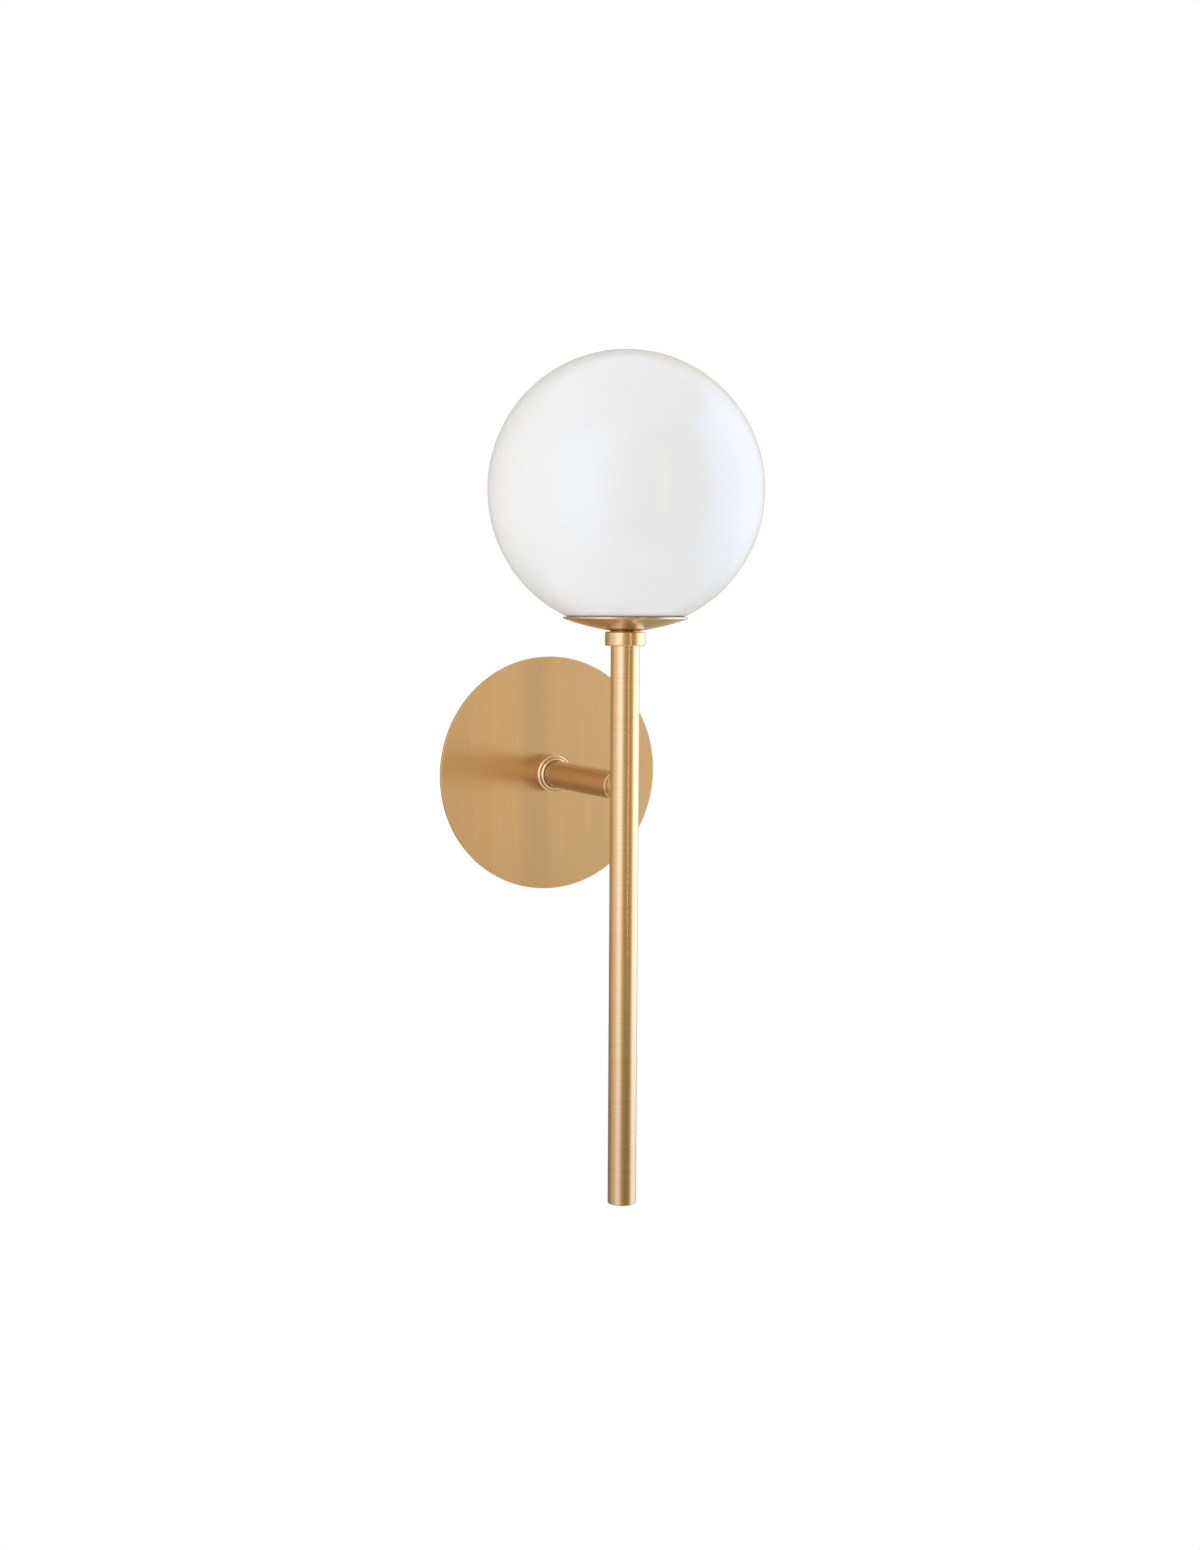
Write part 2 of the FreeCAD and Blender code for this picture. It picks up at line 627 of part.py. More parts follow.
def make_ground_screw():
    """The earth screw, its slotted head on the strap's front and its shank through it."""
    head_front = strap_front - size.ground_head_height
    place = (0, head_front, size.ground_height)
    head = bar_along("Y", "ground_head_bar", size.ground_head, place, size.ground_head_height)
    shank = bar_along("Y", "ground_shank", size.ground_radius, place,
                      size.ground_length + size.ground_head_height)
    slot_half = size.ground_head + size.overrun
    slot = primitive("Part::Box", "ground_slot",
                     {"Length": slot_half * 2, "Width": size.ground_slot,
                      "Height": size.ground_slot},
                     (-slot_half, head_front, size.ground_height - size.ground_slot * 0.5))
    carve("ground_screw", join("ground_bars", [head, shank]), [slot])


def pole_sides():
    """Gives the two poles of the terminal block, left and right of its middle."""
    return [-size.pole_half_pitch, size.pole_half_pitch]


def clamp_heights():
    """Gives the heights of the clamp screws, one over each half of a wire tube."""
    middle = size.block_top - size.block_length * 0.5
    return [middle - size.clamp_offset, middle + size.clamp_offset]


def make_terminal_block():
    """A moulded block on the strap's back, with two wire ways and holes for its screws."""
    bottom = size.block_top - size.block_length
    base = primitive("Part::Box", "block_base",
                     {"Length": size.block_half_width * 2, "Width": size.block_depth,
                      "Height": size.block_length},
                     (-size.block_half_width, strap_back, bottom))
    back = strap_back + size.block_depth
    tools = []
    for across in pole_sides():
        tools.append(bar_along("Z", "block_way", size.insert_radius,
                               (across, size.wire_depth, bottom), size.block_length))
        for height in clamp_heights():
            tools.append(bar_along("Y", "block_screw_way", size.clamp_radius + size.clamp_way_gap,
                                   (across, size.wire_depth, height), back - size.wire_depth))
    tools.append(bar_along("Y", "block_fixing_way", size.fixing_radius + size.hole_gap,
                           (0, strap_back, size.block_top - size.block_length * 0.5),
                           size.block_depth))
    carve("terminal_block", base, tools)


def make_terminal_inserts():
    """Two brass tubes in the block, each closed in the middle by a wire stop."""
    low = size.block_top - size.block_length + size.insert_recess
    length = size.block_length - size.insert_recess * 2
    half_bore = (length - size.insert_stop) * 0.5
    bars = []
    bores = []
    for across in pole_sides():
        place = (across, size.wire_depth, low)
        bars.append(bar_along("Z", "insert_bar", size.insert_radius, place, length))
        bores.append(bar_along("Z", "insert_low_bore", size.insert_bore, place, half_bore))
        upper = (across, size.wire_depth, low + half_bore + size.insert_stop)
        bores.append(bar_along("Z", "insert_high_bore", size.insert_bore, upper, half_bore))
        for height in clamp_heights():
            bores.append(bar_along("Y", "insert_screw_hole", size.clamp_radius + size.thread_gap,
                                   (across, size.wire_depth, height),
                                   size.insert_radius + size.overrun))
    carve("terminal_inserts", join("insert_bars", bars), bores)


def make_terminal_clamp_screws():
    """Four slotted screws over the wire tubes, as separate solids of one group."""
    tip = size.wire_depth + size.insert_bore + size.clamp_tip_gap
    head = strap_back + size.block_depth - size.clamp_sink
    slot_half = size.clamp_radius + size.overrun
    bars = []
    slots = []
    for across in pole_sides():
        for height in clamp_heights():
            bars.append(bar_along("Y", "clamp_bar", size.clamp_radius, (across, tip, height),
                                  head - tip))
            slots.append(primitive("Part::Box", "clamp_slot",
                                   {"Length": slot_half * 2, "Width": size.clamp_slot_depth,
                                    "Height": size.clamp_slot_width},
                                   (across - slot_half, head - size.clamp_slot_depth,
                                    height - size.clamp_slot_width * 0.5)))
    carve("terminal_clamp_screws", join("clamp_bars", bars), slots)


def make_terminal_fixing_screw():
    """The screw through the middle of the block into the strap."""
    height = size.block_top - size.block_length * 0.5
    back = strap_back + size.block_depth
    shank = bar_along("Y", "fixing_shank", size.fixing_radius, (0, strap_front, height),
                      back - strap_front)
    head = bar_along("Y", "fixing_head", size.fixing_head, (0, back, height),
                     size.fixing_head_height)
    slot_half = size.fixing_head + size.overrun
    slot = primitive("Part::Box", "fixing_slot",
                     {"Length": slot_half * 2, "Width": size.fixing_slot_depth,
                      "Height": size.fixing_slot_width},
                     (-slot_half, back + size.fixing_head_height - size.fixing_slot_depth,
                      height - size.fixing_slot_width * 0.5))
    carve("terminal_fixing_screw", join("fixing_bars", [shank, head]), [slot])


# Arm and stem

def nose_fall(radius):
    """How far the arm's conical outer end has fallen back at a radius."""
    run = size.tube_radius - size.arm_nose_radius
    return (radius - size.arm_nose_radius) * size.arm_end_fall / run


def make_arm_tube():
    """The level tube, from the front nut to the back of the stem, with a shallow conical end."""
    front = size.tube_radius - size.reach
    turned_level("arm_tube", [
        (tube_bore, size.wall_gap),
        (tube_bore, front + nose_fall(tube_bore)),
        (size.tube_radius, front + size.arm_end_fall),
        (size.tube_radius, size.wall_gap),
    ])


def make_arm_bushes():
    """Threaded plugs in the arm tube's two ends, and the tube that runs on into the stem."""
    front = size.tube_radius - size.reach
    turned_level("arm_wall_bush", tube_corners(nipple_hole, plug_radius,
                                               size.wall_gap - size.bush_length, size.wall_gap))
    turned_level("arm_end_bush", [
        (cross_hole, front),
        (size.arm_nose_radius, front),
        (plug_radius, front + nose_fall(plug_radius)),
        (plug_radius, front + size.bush_length),
        (cross_hole, front + size.bush_length),
    ])
    cross_tip = size.cross_entry - size.reach
    turned_level("cross_nipple", tube_corners(size.cross_bore, size.cross_radius,
                                              cross_tip,
                                              front + size.bush_length - size.thread_short))


def make_stem_tube():
    """The upright tube, with a hole in its back where the arm joins."""
    body = turned_upright("stem_tube", tube_corners(tube_bore, size.tube_radius,
                                                    size.plug_flange - size.stem_drop, stem_top))
    cut_round(body, "XZ_Plane", None, False, size.tube_radius + size.overrun,
              [(0, 0, cross_hole + size.hole_gap)])


def make_stem_core():
    """A slug in the stem, tapped from the back, with a passage that turns the wires upward."""
    half = size.core_half
    slug = bar_along("Z", "core_slug", plug_radius, (0, 0, -half), half * 2)
    entry = bar_along("Y", "core_entry", cross_hole,
                      (0, size.cross_entry - size.cross_tip_gap, 0), plug_radius)
    level_way = bar_along("Y", "core_level_way", size.cross_bore, (0, 0, 0), plug_radius)
    upright_way = bar_along("Z", "core_upright_way", size.wire_way, (0, 0, -size.way_depth),
                            size.way_depth + half + size.overrun)
    piece = carve("stem_core", slug, [entry, level_way, upright_way])
    piece.setExpression("Placement.Base.y", (-size.reach).formula)


def make_stem_ends():
    """The plug that closes the stem below, and the threaded plug in its top."""
    bottom = -size.stem_drop
    flange_top = bottom + size.plug_flange
    spigot_bore = plug_radius - size.spigot_wall
    turned_upright("stem_bottom_plug", [
        (0, bottom),
        (size.tube_radius - size.plug_round, bottom, 1, size.plug_round),
        (size.tube_radius, bottom + size.plug_round),
        (size.tube_radius, flange_top),
        (plug_radius, flange_top),
        (plug_radius, flange_top + size.plug_spigot),
        (spigot_bore, flange_top + size.plug_spigot),
        (spigot_bore, flange_top),
        (0, flange_top),
    ])
    turned_upright("stem_top_bush", tube_corners(nipple_hole, plug_radius,
                                                 stem_top - size.bush_length, stem_top))


def make_top_ring():
    """The ring at the stem's top, with a socket for the tube and a hole for the nipple."""
    bevel = size.ring_bevel
    socket = size.tube_radius + size.tube_gap
    turned_upright("top_ring", [
        (socket, size.ring_bottom),
        (size.ring_radius - bevel, size.ring_bottom),
        (size.ring_radius, size.ring_bottom + bevel),
        (size.ring_radius, ring_top - bevel),
        (size.ring_radius - bevel, ring_top),
        (nipple_hole, ring_top),
        (nipple_hole, stem_top),
        (socket, stem_top),
    ])


# Dish, globe and the cup that carries it

def make_fixture_nipple():
    """The hollow tube that ties the stem, ring, dish, cup and lampholder together."""
    low = stem_top - size.bush_length + size.thread_short
    turned_upright("fixture_nipple", tube_corners(size.nipple_bore, size.nipple_radius, low,
                                                  size.holder_base + size.nipple_reach))


def make_fitter_dish():
    """A shallow dish: its underside is one long curve from the hollow boss up to the rim band."""
    rim_low = dish_under + size.dish_rise
    rim_top = rim_low + size.rim_height
    rim_round = size.rim_round
    ease = size.rim_ease
    turned_upright("fitter_dish", [
        (nipple_hole, ring_top),
        (size.boss_foot, ring_top, -1, size.boss_cove),
        (size.boss_radius, dish_under - size.boss_step, 1, size.dish_sweep),
        (size.dish_radius - rim_round, rim_low, 1, rim_round),
        (size.dish_radius, rim_low + rim_round),
        (size.dish_radius, rim_top - ease),
        (size.dish_radius - ease, rim_top),
        (size.dish_radius - size.rim_wall, rim_top),
        (size.seat_radius + size.flare_width, dish_seat + size.flare_rise),
        (size.seat_radius, dish_seat),
        (nipple_hole, dish_seat),
    ])


def make_globe_carrier():
    """The threaded cup on the dish's seat that the globe's ring turns onto."""
    bore = size.carrier_radius - size.carrier_wall
    hole = nipple_hole + size.hole_gap
    turned_upright("globe_carrier", [
        (hole, dish_seat),
        (size.carrier_radius, dish_seat),
        (size.carrier_radius, cup_top),
        (bore, cup_top),
        (bore, cup_floor),
        (hole, cup_floor),
    ])


def make_stack_fasteners():
    """The washer and nut that clamp the cup and the dish down on the ring."""
    turned_upright("carrier_washer", tube_corners(nipple_hole + size.hole_gap,
                                                  size.washer_radius, cup_floor, nut_floor))
    body = new_body("nipple_nut")
    sketch = new_sketch(body, "XY_Plane", nut_floor)
    draw_outline(sketch, hexagon(size.back_flats))
    draw_circle(sketch, 0, 0, nipple_hole)
    pad = body.newObject("PartDesign::Pad", "Nut")
    pad.Profile = sketch
    pad.setExpression("Length", size.front_nut.formula)
    sketch.Visibility = False
    body.setExpression("Placement.Base.y", (-size.reach).formula)
    doc.recompute()


def sphere_height(radius, ball_radius):
    """Gives the height at which the lower half of a ball about the globe's centre has a radius."""
    return size.globe_centre - (ball_radius * ball_radius - radius * radius).root()


def make_globe_glass():
    """A blown ball with an even wall, open below, its mouth's lower edge rounded."""
    inner_ball = size.globe_radius - size.glass_wall
    edge = size.mouth_radius + size.mouth_round
    edge_height = sphere_height(edge, size.globe_radius)
    inner_edge = size.mouth_radius + size.mouth_bevel
    inner_height = sphere_height(inner_edge, inner_ball)
    turned_upright("globe_glass", [
        (edge, edge_height, 1, size.globe_radius),
        (0, size.globe_centre + size.globe_radius),
        (0, size.globe_centre + inner_ball, -1, inner_ball),
        (inner_edge, inner_height),
        (size.mouth_radius, inner_height - size.mouth_bevel_height),
        (size.mouth_radius, edge_height + size.mouth_round, 1, size.mouth_arc),
    ])


def ring_heights():
    """Gives the heights of the globe ring's lower end, the lip's underside and its top."""
    low = dish_seat + size.ring_lift
    lip = cup_top + size.gasket_thick
    return low, lip, lip + size.ring_lip


def make_globe_ring():
    """The threaded ring in the mouth, whose lip presses the gasket on the cup's rim."""
    low, lip, top = ring_heights()
    bore = size.carrier_radius + size.screw_gap
    turned_upright("globe_ring", [
        (bore, low),
        (size.ring_outer, low),
        (size.ring_outer, top),
        (size.ring_throat, top),
        (size.ring_throat, lip),
        (bore, lip),
    ])


def make_ring_cement():
    """The adhesive that fills the joint and stands as a bead inside the globe."""
    inner_ball = size.globe_radius - size.glass_wall
    inner_edge = size.mouth_radius + size.mouth_bevel
    inner_height = sphere_height(inner_edge, inner_ball)
    bead_foot = sphere_height(size.bead_radius, inner_ball)
    glass_foot = sphere_height(size.mouth_radius + size.mouth_round, size.globe_radius)
    low = glass_foot + size.mouth_round + size.bead_gap
    turned_upright("ring_cement", [
        (size.ring_outer, low),
        (size.mouth_radius, low),
        (size.mouth_radius, inner_height - size.mouth_bevel_height),
        (inner_edge, inner_height, 1, inner_ball),
        (size.bead_radius, bead_foot),
        (size.ring_outer, size.bead_height),
    ])


def make_globe_gasket():
    """The flat seal between the cup's rim and the ring's lip."""
    inner = size.carrier_radius - size.carrier_wall - size.gasket_overhang
    turned_upright("globe_gasket", tube_corners(inner, size.carrier_radius, cup_top,
                                                cup_top + size.gasket_thick))


# Lampholder

holder_top = size.holder_base + size.holder_length
cap_bore = size.cap_radius - size.holder_wall
cap_top = size.holder_base + size.cap_height
carrier_radius = cap_bore - size.insert_gap
carrier_low = size.lamp_tip - size.insert_drop
carrier_high = carrier_low + size.insert_plate


def make_holder_cap():
    """The threaded lower half of the lampholder."""
    neck_top = size.holder_base + size.neck_height
    shoulder = size.holder_base + size.cap_shoulder
    floor = neck_top + size.cap_floor
    turned_upright("holder_cap", [
        (nipple_hole, size.holder_base),
        (size.holder_neck, size.holder_base),
        (size.holder_neck, neck_top),
        (size.cap_radius, shoulder),
        (size.cap_radius, cap_top),
        (cap_bore, cap_top),
        (cap_bore, shoulder + size.cap_bore_rise),
        (size.holder_neck - size.neck_wall, floor),
        (nipple_hole, floor),
    ])


def make_holder_body():
    """The upper half of the lampholder, open round the lamp."""
    low = cap_top - size.body_overlap
    shelf = cap_top + size.body_shelf
    seam = size.cap_radius + size.seam_gap
    body_bore = size.holder_radius - size.holder_wall
    turned_upright("holder_body", [
        (seam, low),
        (size.holder_radius, low),
        (size.holder_radius, holder_top - size.body_bevel),
        (size.holder_radius - size.body_bevel, holder_top),
        (size.body_throat, holder_top),
        (size.body_throat, holder_top - size.body_top),
        (body_bore, holder_top - size.body_top),
        (body_bore, shelf),
        (seam, shelf),
    ])


def make_holder_insert():
    """The contact carrier, with a well for the sprung tongue and two wire terminals."""
    disc = bar_along("Z", "insert_disc", carrier_radius, (0, 0, carrier_low), size.insert_plate)
    well = bar_along("Z", "insert_well", size.well_radius,
                     (0, 0, carrier_low + size.well_floor), size.insert_plate)
    tools = [well]
    screw_hole = size.terminal_screw + size.thread_gap
    for side, inner_end in ((-1, -carrier_radius), (1, size.terminal_offset)):
        across = size.terminal_offset * side
        tools.append(bar_along("Z", "terminal_way", size.lead_radius + size.terminal_gap,
                               (across, 0, carrier_low), size.terminal_depth))
        tools.append(bar_along("X", "terminal_screw_way", screw_hole,
                               (inner_end, 0, carrier_low + size.terminal_rise),
                               carrier_radius - size.terminal_offset))
    piece = carve("holder_insert", disc, tools)
    piece.setExpression("Placement.Base.y", (-size.reach).formula)


def make_holder_terminal_screws():
    """Two small screws that grip the wires from the sides."""
    tip = size.terminal_offset + size.lead_radius + size.terminal_tip_gap
    head = carrier_radius - size.terminal_sink
    height = carrier_low + size.terminal_rise
    screws = [
        bar_along("X", "terminal_screw", size.terminal_screw, (end, 0, height), head - tip)
        for end in (-head, tip)
    ]
    piece = listed("holder_terminal_screws", join("terminal_screws", screws))
    piece.setExpression("Placement.Base.y", (-size.reach).formula)


def make_holder_screw_shell():
    """The thin screw shell that the lamp turns into, on a small foot."""
    outer = size.shell_bore + size.shell_wall
    foot_top = carrier_high + size.shell_foot_thick
    rim = holder_top - size.shell_sink
    turned_upright("holder_screw_shell", [
        (size.shell_bore, carrier_high),
        (outer + size.shell_foot, carrier_high),
        (outer + size.shell_foot, foot_top),
        (outer, foot_top),
        (outer, rim),
        (size.shell_bore, rim),
    ])


def make_centre_contact():
    """The tongue that presses up on the lamp's contact, with a raised pip."""
    low = size.lamp_tip - size.pip_height
    strip = primitive("Part::Box", "tongue_strip",
                      {"Length": size.tongue_length, "Width": size.tongue_width,
                       "Height": size.tongue_thick},
                      (size.tongue_length * -0.5, size.tongue_width * -0.5, low))
    pip = primitive("Part::Cone", "tongue_pip",
                    {"Radius1": size.pip_foot, "Radius2": size.pip_top,
                     "Height": size.pip_height},
                    (0, 0, low))
    piece = listed("centre_contact", join("tongue", [strip, pip]))
    piece.setExpression("Placement.Base.y", (-size.reach).formula)


# Lamp

lamp_skirt = size.lamp_tip + size.skirt_rise
lamp_deck = lamp_skirt + size.deck_rise


def make_bulb_cap():
    """The lamp's screw cap, its black glass insulator and its solder tip."""
    low = size.lamp_tip + size.screw_rise
    turned_upright("bulb_cap", tube_corners(size.cap_screw - size.screw_wall, size.cap_screw,
                                            low, lamp_skirt + size.screw_overlap))
    tip_top = size.lamp_tip + size.tip_height
    black_glass = size.cap_screw - size.insulator_inset
    turned_upright("bulb_insulator", [
        (0, tip_top),
        (size.insulator_foot, tip_top),
        (black_glass, low),
        (black_glass, low + size.insulator_depth),
        (0, low + size.insulator_depth),
    ])
    turned_upright("bulb_tip", [
        (0, size.lamp_tip),
        (size.tip_flat, size.lamp_tip),
        (size.tip_radius, size.lamp_tip + size.tip_edge),
        (size.tip_radius, tip_top),
        (0, tip_top),
    ])


def make_bulb_collar():
    """The flared skirt between cap and bulb, with a deck that closes it."""
    throat = size.cap_screw + size.skirt_gap
    top = lamp_deck + size.skirt_lip
    deck_under = lamp_deck - size.deck_thick
    turned_upright("bulb_collar", [
        (throat, lamp_skirt),
        (size.skirt_foot, lamp_skirt),
        (size.skirt_waist, lamp_skirt + size.skirt_waist_height),
        (size.skirt_mouth, top),
        (size.skirt_bore, top),
        (size.skirt_bore, lamp_deck),
        (0, lamp_deck),
        (0, deck_under),
        (size.skirt_waist, deck_under),
        (size.skirt_inside, lamp_skirt + size.skirt_inside_height),
        (throat, lamp_skirt + size.skirt_throat_height),
    ])


def make_bulb_glass():
    """A candle-shaped bulb: a ball low down, a small ball at the tip and a cone that joins them."""
    foot = lamp_deck + size.bulb_gap
    neck = foot + size.bulb_neck_height
    neck_bore = size.bulb_neck - size.lamp_wall
    belly = lamp_deck + size.bulb_belly
    tip = size.lamp_tip + size.lamp_length - size.bulb_point
    slope = (size.lamp_radius - size.bulb_point) / (tip - belly)
    level = (as_size(1.0) - slope * slope).root()
    low_angle = math.radians(-35)

    def belly_foot(radius):
        return radius * math.cos(low_angle), belly + radius * math.sin(low_angle)

    def touch(centre, radius):
        return radius * level, centre + radius * slope

    inner_belly = size.lamp_radius - size.lamp_wall
    inner_tip = size.bulb_point - size.lamp_wall
    turned_upright("bulb_glass", [
        (size.bulb_neck, foot),
        (size.bulb_neck, neck),
        (*belly_foot(size.lamp_radius), 1, size.lamp_radius),
        touch(belly, size.lamp_radius),
        (*touch(tip, size.bulb_point), 1, size.bulb_point),
        (0, tip + size.bulb_point),
        (0, tip + inner_tip, -1, inner_tip),
        touch(tip, inner_tip),
        (*touch(belly, inner_belly), -1, inner_belly),
        belly_foot(inner_belly),
        (neck_bore, neck),
        (neck_bore, foot),
    ])


def make_bulb_inside():
    """The spindle with its two discs, and the four light strips between them."""
    lower_disc = lamp_deck + size.disc_rise
    upper_disc = lower_disc + size.disc_spacing
    strip_foot = lower_disc + size.disc_thick
    turned_upright("bulb_stem", [
        (0, lamp_deck),
        (size.spindle_foot, lamp_deck),
        (size.spindle_waist, lower_disc - size.spindle_flare),
        (size.disc_radius, lower_disc),
        (size.disc_radius, strip_foot),
        (size.spindle_radius, strip_foot),
        (size.spindle_radius, upper_disc),
        (size.disc_radius, upper_disc),
        (size.disc_radius, upper_disc + size.disc_thick),
        (0, upper_disc + size.disc_thick),
    ])
    strips = []
    for quarter in range(4):
        angle = math.radians(90 * quarter + 45)
        place = (size.filament_ring * math.cos(angle), size.filament_ring * math.sin(angle),
                 strip_foot)
        strips.append(bar_along("Z", "strip", size.filament_radius, place,
                                upper_disc - strip_foot))
    piece = listed("led_filaments", join("strips", strips))
    piece.setExpression("Placement.Base.y", (-size.reach).formula)


# Wires

def rounded_route(corners, radii):
    """Joins straight runs with tangent arcs, one at each inner corner, and gives the wire."""
    edges = []
    start = corners[0]
    for index in range(1, len(corners) - 1):
        corner = corners[index]
        radius = radii[index - 1]
        inward = corner.sub(corners[index - 1]).normalize()
        outward = corners[index + 1].sub(corner).normalize()
        turn = inward.getAngle(outward)
        setback = radius * math.tan(turn / 2)
        begin = corner.sub(FreeCAD.Vector(inward).multiply(setback))
        finish = corner.add(FreeCAD.Vector(outward).multiply(setback))
        bisector = FreeCAD.Vector(outward).sub(inward).normalize()
        middle = corner.add(bisector.multiply(radius / math.cos(turn / 2) - radius))
        edges.append(Part.LineSegment(start, begin).toShape())
        edges.append(Part.Arc(begin, middle, finish).toShape())
        start = finish
    edges.append(Part.LineSegment(start, corners[-1]).toShape())
    return Part.Wire(edges)


def make_lead(label, side):
    """One wire, from the terminal block through the arm and up the stem to the lampholder."""
    pole = size.pole_half_pitch * side
    offset = size.lead_offset * side
    terminal = size.terminal_offset * side
    depth = size.wire_depth
    stem = -size.reach
    lift = size.holder_base + size.lead_lift
    places = [
        (pole, depth, size.block_top - size.lead_grip),
        (pole, depth, size.block_top + size.lead_rise),
        (offset, depth, -size.lead_drop),
        (offset, depth, as_size(0)),
        (offset, stem, as_size(0)),
        (offset, stem, lift),
        (terminal, stem, lift + size.lead_spread),
        (terminal, stem, carrier_low + size.lead_entry),
    ]
    bend_radii = [4.0, 4.0, 3.5, 4.0, 2.0, 1.2]
    corners = [FreeCAD.Vector(x.value, y.value, z.value) for x, y, z in places]
    route = rounded_route(corners, bend_radii)
    radius = size.lead_radius.value
    circle = Part.Circle(corners[0], FreeCAD.Vector(0, 0, 1), radius)
    section = Part.Wire([circle.toShape()])
    solid = route.makePipeShell([section], True, False)
    expected = math.pi * radius ** 2 * route.Length
    if abs(solid.Volume - expected) > 0.02 * expected:
        raise RuntimeError(f"{label}: the swept wire has the wrong volume")
    lead = doc.addObject("Part::Feature", label)
    lead.Shape = solid
    lead.Placement = FreeCAD.Placement()
    listed(label, lead)


def make_all():
    make_backplate()
    make_slip_collar()
    make_collar_grub_screw()
    make_mounting_strap()
    make_strap_fasteners()
    make_ground_screw()
    make_terminal_block()
    make_terminal_inserts()
    make_terminal_clamp_screws()
    make_terminal_fixing_screw()
    make_arm_tube()
    make_arm_bushes()
    make_stem_tube()
    make_stem_core()
    make_stem_ends()
    make_top_ring()
    make_fixture_nipple()
    make_fitter_dish()
    make_globe_carrier()
    make_stack_fasteners()
    make_globe_glass()
    make_globe_ring()
    make_ring_cement()
    make_globe_gasket()
    make_holder_cap()
    make_holder_body()
    make_holder_insert()
    make_holder_terminal_screws()
    make_holder_screw_shell()
    make_centre_contact()
    make_bulb_cap()
    make_bulb_collar()
    make_bulb_glass()
    make_bulb_inside()
    make_lead("live_lead", 1)
    make_lead("neutral_lead", -1)


def check_and_write():
    """Checks every object of the document, then writes one file for each piece."""
    doc.recompute()
    for item in doc.Objects:
        if "Invalid" in item.State or "Error" in item.State:
            raise RuntimeError(f"{item.Label} failed: {item.State}")
    for piece in subparts:
        shape = piece.Shape
        if shape.isNull() or not shape.isValid() or shape.Volume <= 0:
            raise RuntimeError(f"{piece.Label} has no valid solid")
        print(f"{piece.Label}: {len(shape.Solids)} solid(s), {shape.Volume:.1f} mm3")
    os.makedirs("parts", exist_ok=True)
    for piece in subparts:
        piece.Shape.exportStep(f"parts/{piece.Label}.step")


make_all()
check_and_write()
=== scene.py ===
# Globe wall sconce: the looks of every surface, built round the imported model.
# Metres. Seen from the room, +X points right, +Z up and -Y out of the wall.

import json
import math

import bpy
import numpy as np
from bpy.props import FloatProperty, FloatVectorProperty, PointerProperty
from mathutils import Matrix, Vector


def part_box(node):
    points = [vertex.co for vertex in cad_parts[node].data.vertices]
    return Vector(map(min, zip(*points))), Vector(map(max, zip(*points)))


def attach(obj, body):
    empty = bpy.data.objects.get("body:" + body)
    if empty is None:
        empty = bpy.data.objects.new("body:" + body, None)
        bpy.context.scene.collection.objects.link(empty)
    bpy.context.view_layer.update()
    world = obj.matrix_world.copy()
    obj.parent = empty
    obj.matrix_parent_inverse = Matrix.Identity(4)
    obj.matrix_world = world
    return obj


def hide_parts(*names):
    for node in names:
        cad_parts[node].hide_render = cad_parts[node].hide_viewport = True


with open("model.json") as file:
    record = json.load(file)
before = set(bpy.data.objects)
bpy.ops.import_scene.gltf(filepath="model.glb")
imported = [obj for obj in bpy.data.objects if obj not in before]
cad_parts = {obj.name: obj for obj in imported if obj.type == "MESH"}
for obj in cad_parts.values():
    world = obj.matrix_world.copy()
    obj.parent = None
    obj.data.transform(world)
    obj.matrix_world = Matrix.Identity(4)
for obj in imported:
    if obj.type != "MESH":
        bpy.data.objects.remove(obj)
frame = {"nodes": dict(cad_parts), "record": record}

bl_info = {
    "name": "Globe wall sconce",
    "version": (1, 0, 0),
    "blender": (4, 5, 0),
    "location": "3D View > Sidebar > Sconce",
    "description": "Builds the visible pieces, the finishes and the stage of a globe wall sconce",
    "category": "Add Mesh",
}

MM = 0.001


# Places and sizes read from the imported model

def node_middle(node):
    """Gives the middle of a node's box."""
    low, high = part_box(node)
    return (low + high) / 2


def node_radius(node):
    """Gives half a node's width in X, which is its radius where it is turned."""
    low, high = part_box(node)
    return (high.x - low.x) / 2


def node_span(node, axis):
    """Gives the lowest and the highest place of a node along one axis."""
    low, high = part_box(node)
    return low[axis], high[axis]


STEM_Y = node_middle("stem_tube").y
STEM_AXIS = (0, STEM_Y, 0)
ARM_AXIS = (0, 0, 0)
GLOBE_HEIGHT = node_span("globe_glass", 2)[1] - node_radius("globe_glass")


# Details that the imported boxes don't tell, the same as in the part's source

PLATE_HOLE = 8.3 * MM
COLLAR_BORE = 8.05 * MM
LIP_RADIUS = 9.3 * MM  # the collar's narrow front lip
LIP_LENGTH = 1.5 * MM
SCREW_HOLE = 1.54 * MM  # radius of the hole for the collar's screw
ARM_NOSE = 4.4 * MM  # radius of the flat middle of the arm's outer end
ARM_FALL = 1.7 * MM  # how far that end falls back at its rim
CROSS_HOLE = 4.14 * MM  # radius of the hole in the stem for the arm's threaded tube
NIPPLE_HOLE = 5.04 * MM  # radius of the hole in ring and dish for the upright threaded tube
TUBE_GAP = 0.04 * MM  # between a tube and what stands in it or round it
SPIGOT_WALL = 1.5 * MM  # wall of the plug inside the stem
BOSS_RADIUS = 9.0 * MM  # where the dish's long arc meets its boss
BOSS_FOOT = 8.2 * MM  # the boss's radius at its lower face
BOSS_RISE = 0.8 * MM  # height of the hollow curve round the boss
BOSS_STEP = 0.15 * MM  # how far the long arc starts below the top of that curve
DISH_SWEEP = 125 * MM  # radius of the dish's long arc
RIM_HEIGHT = 1.1 * MM
RIM_WALL = 1.3 * MM
SEAT_RADIUS = 23.5 * MM  # the dish's flat seat
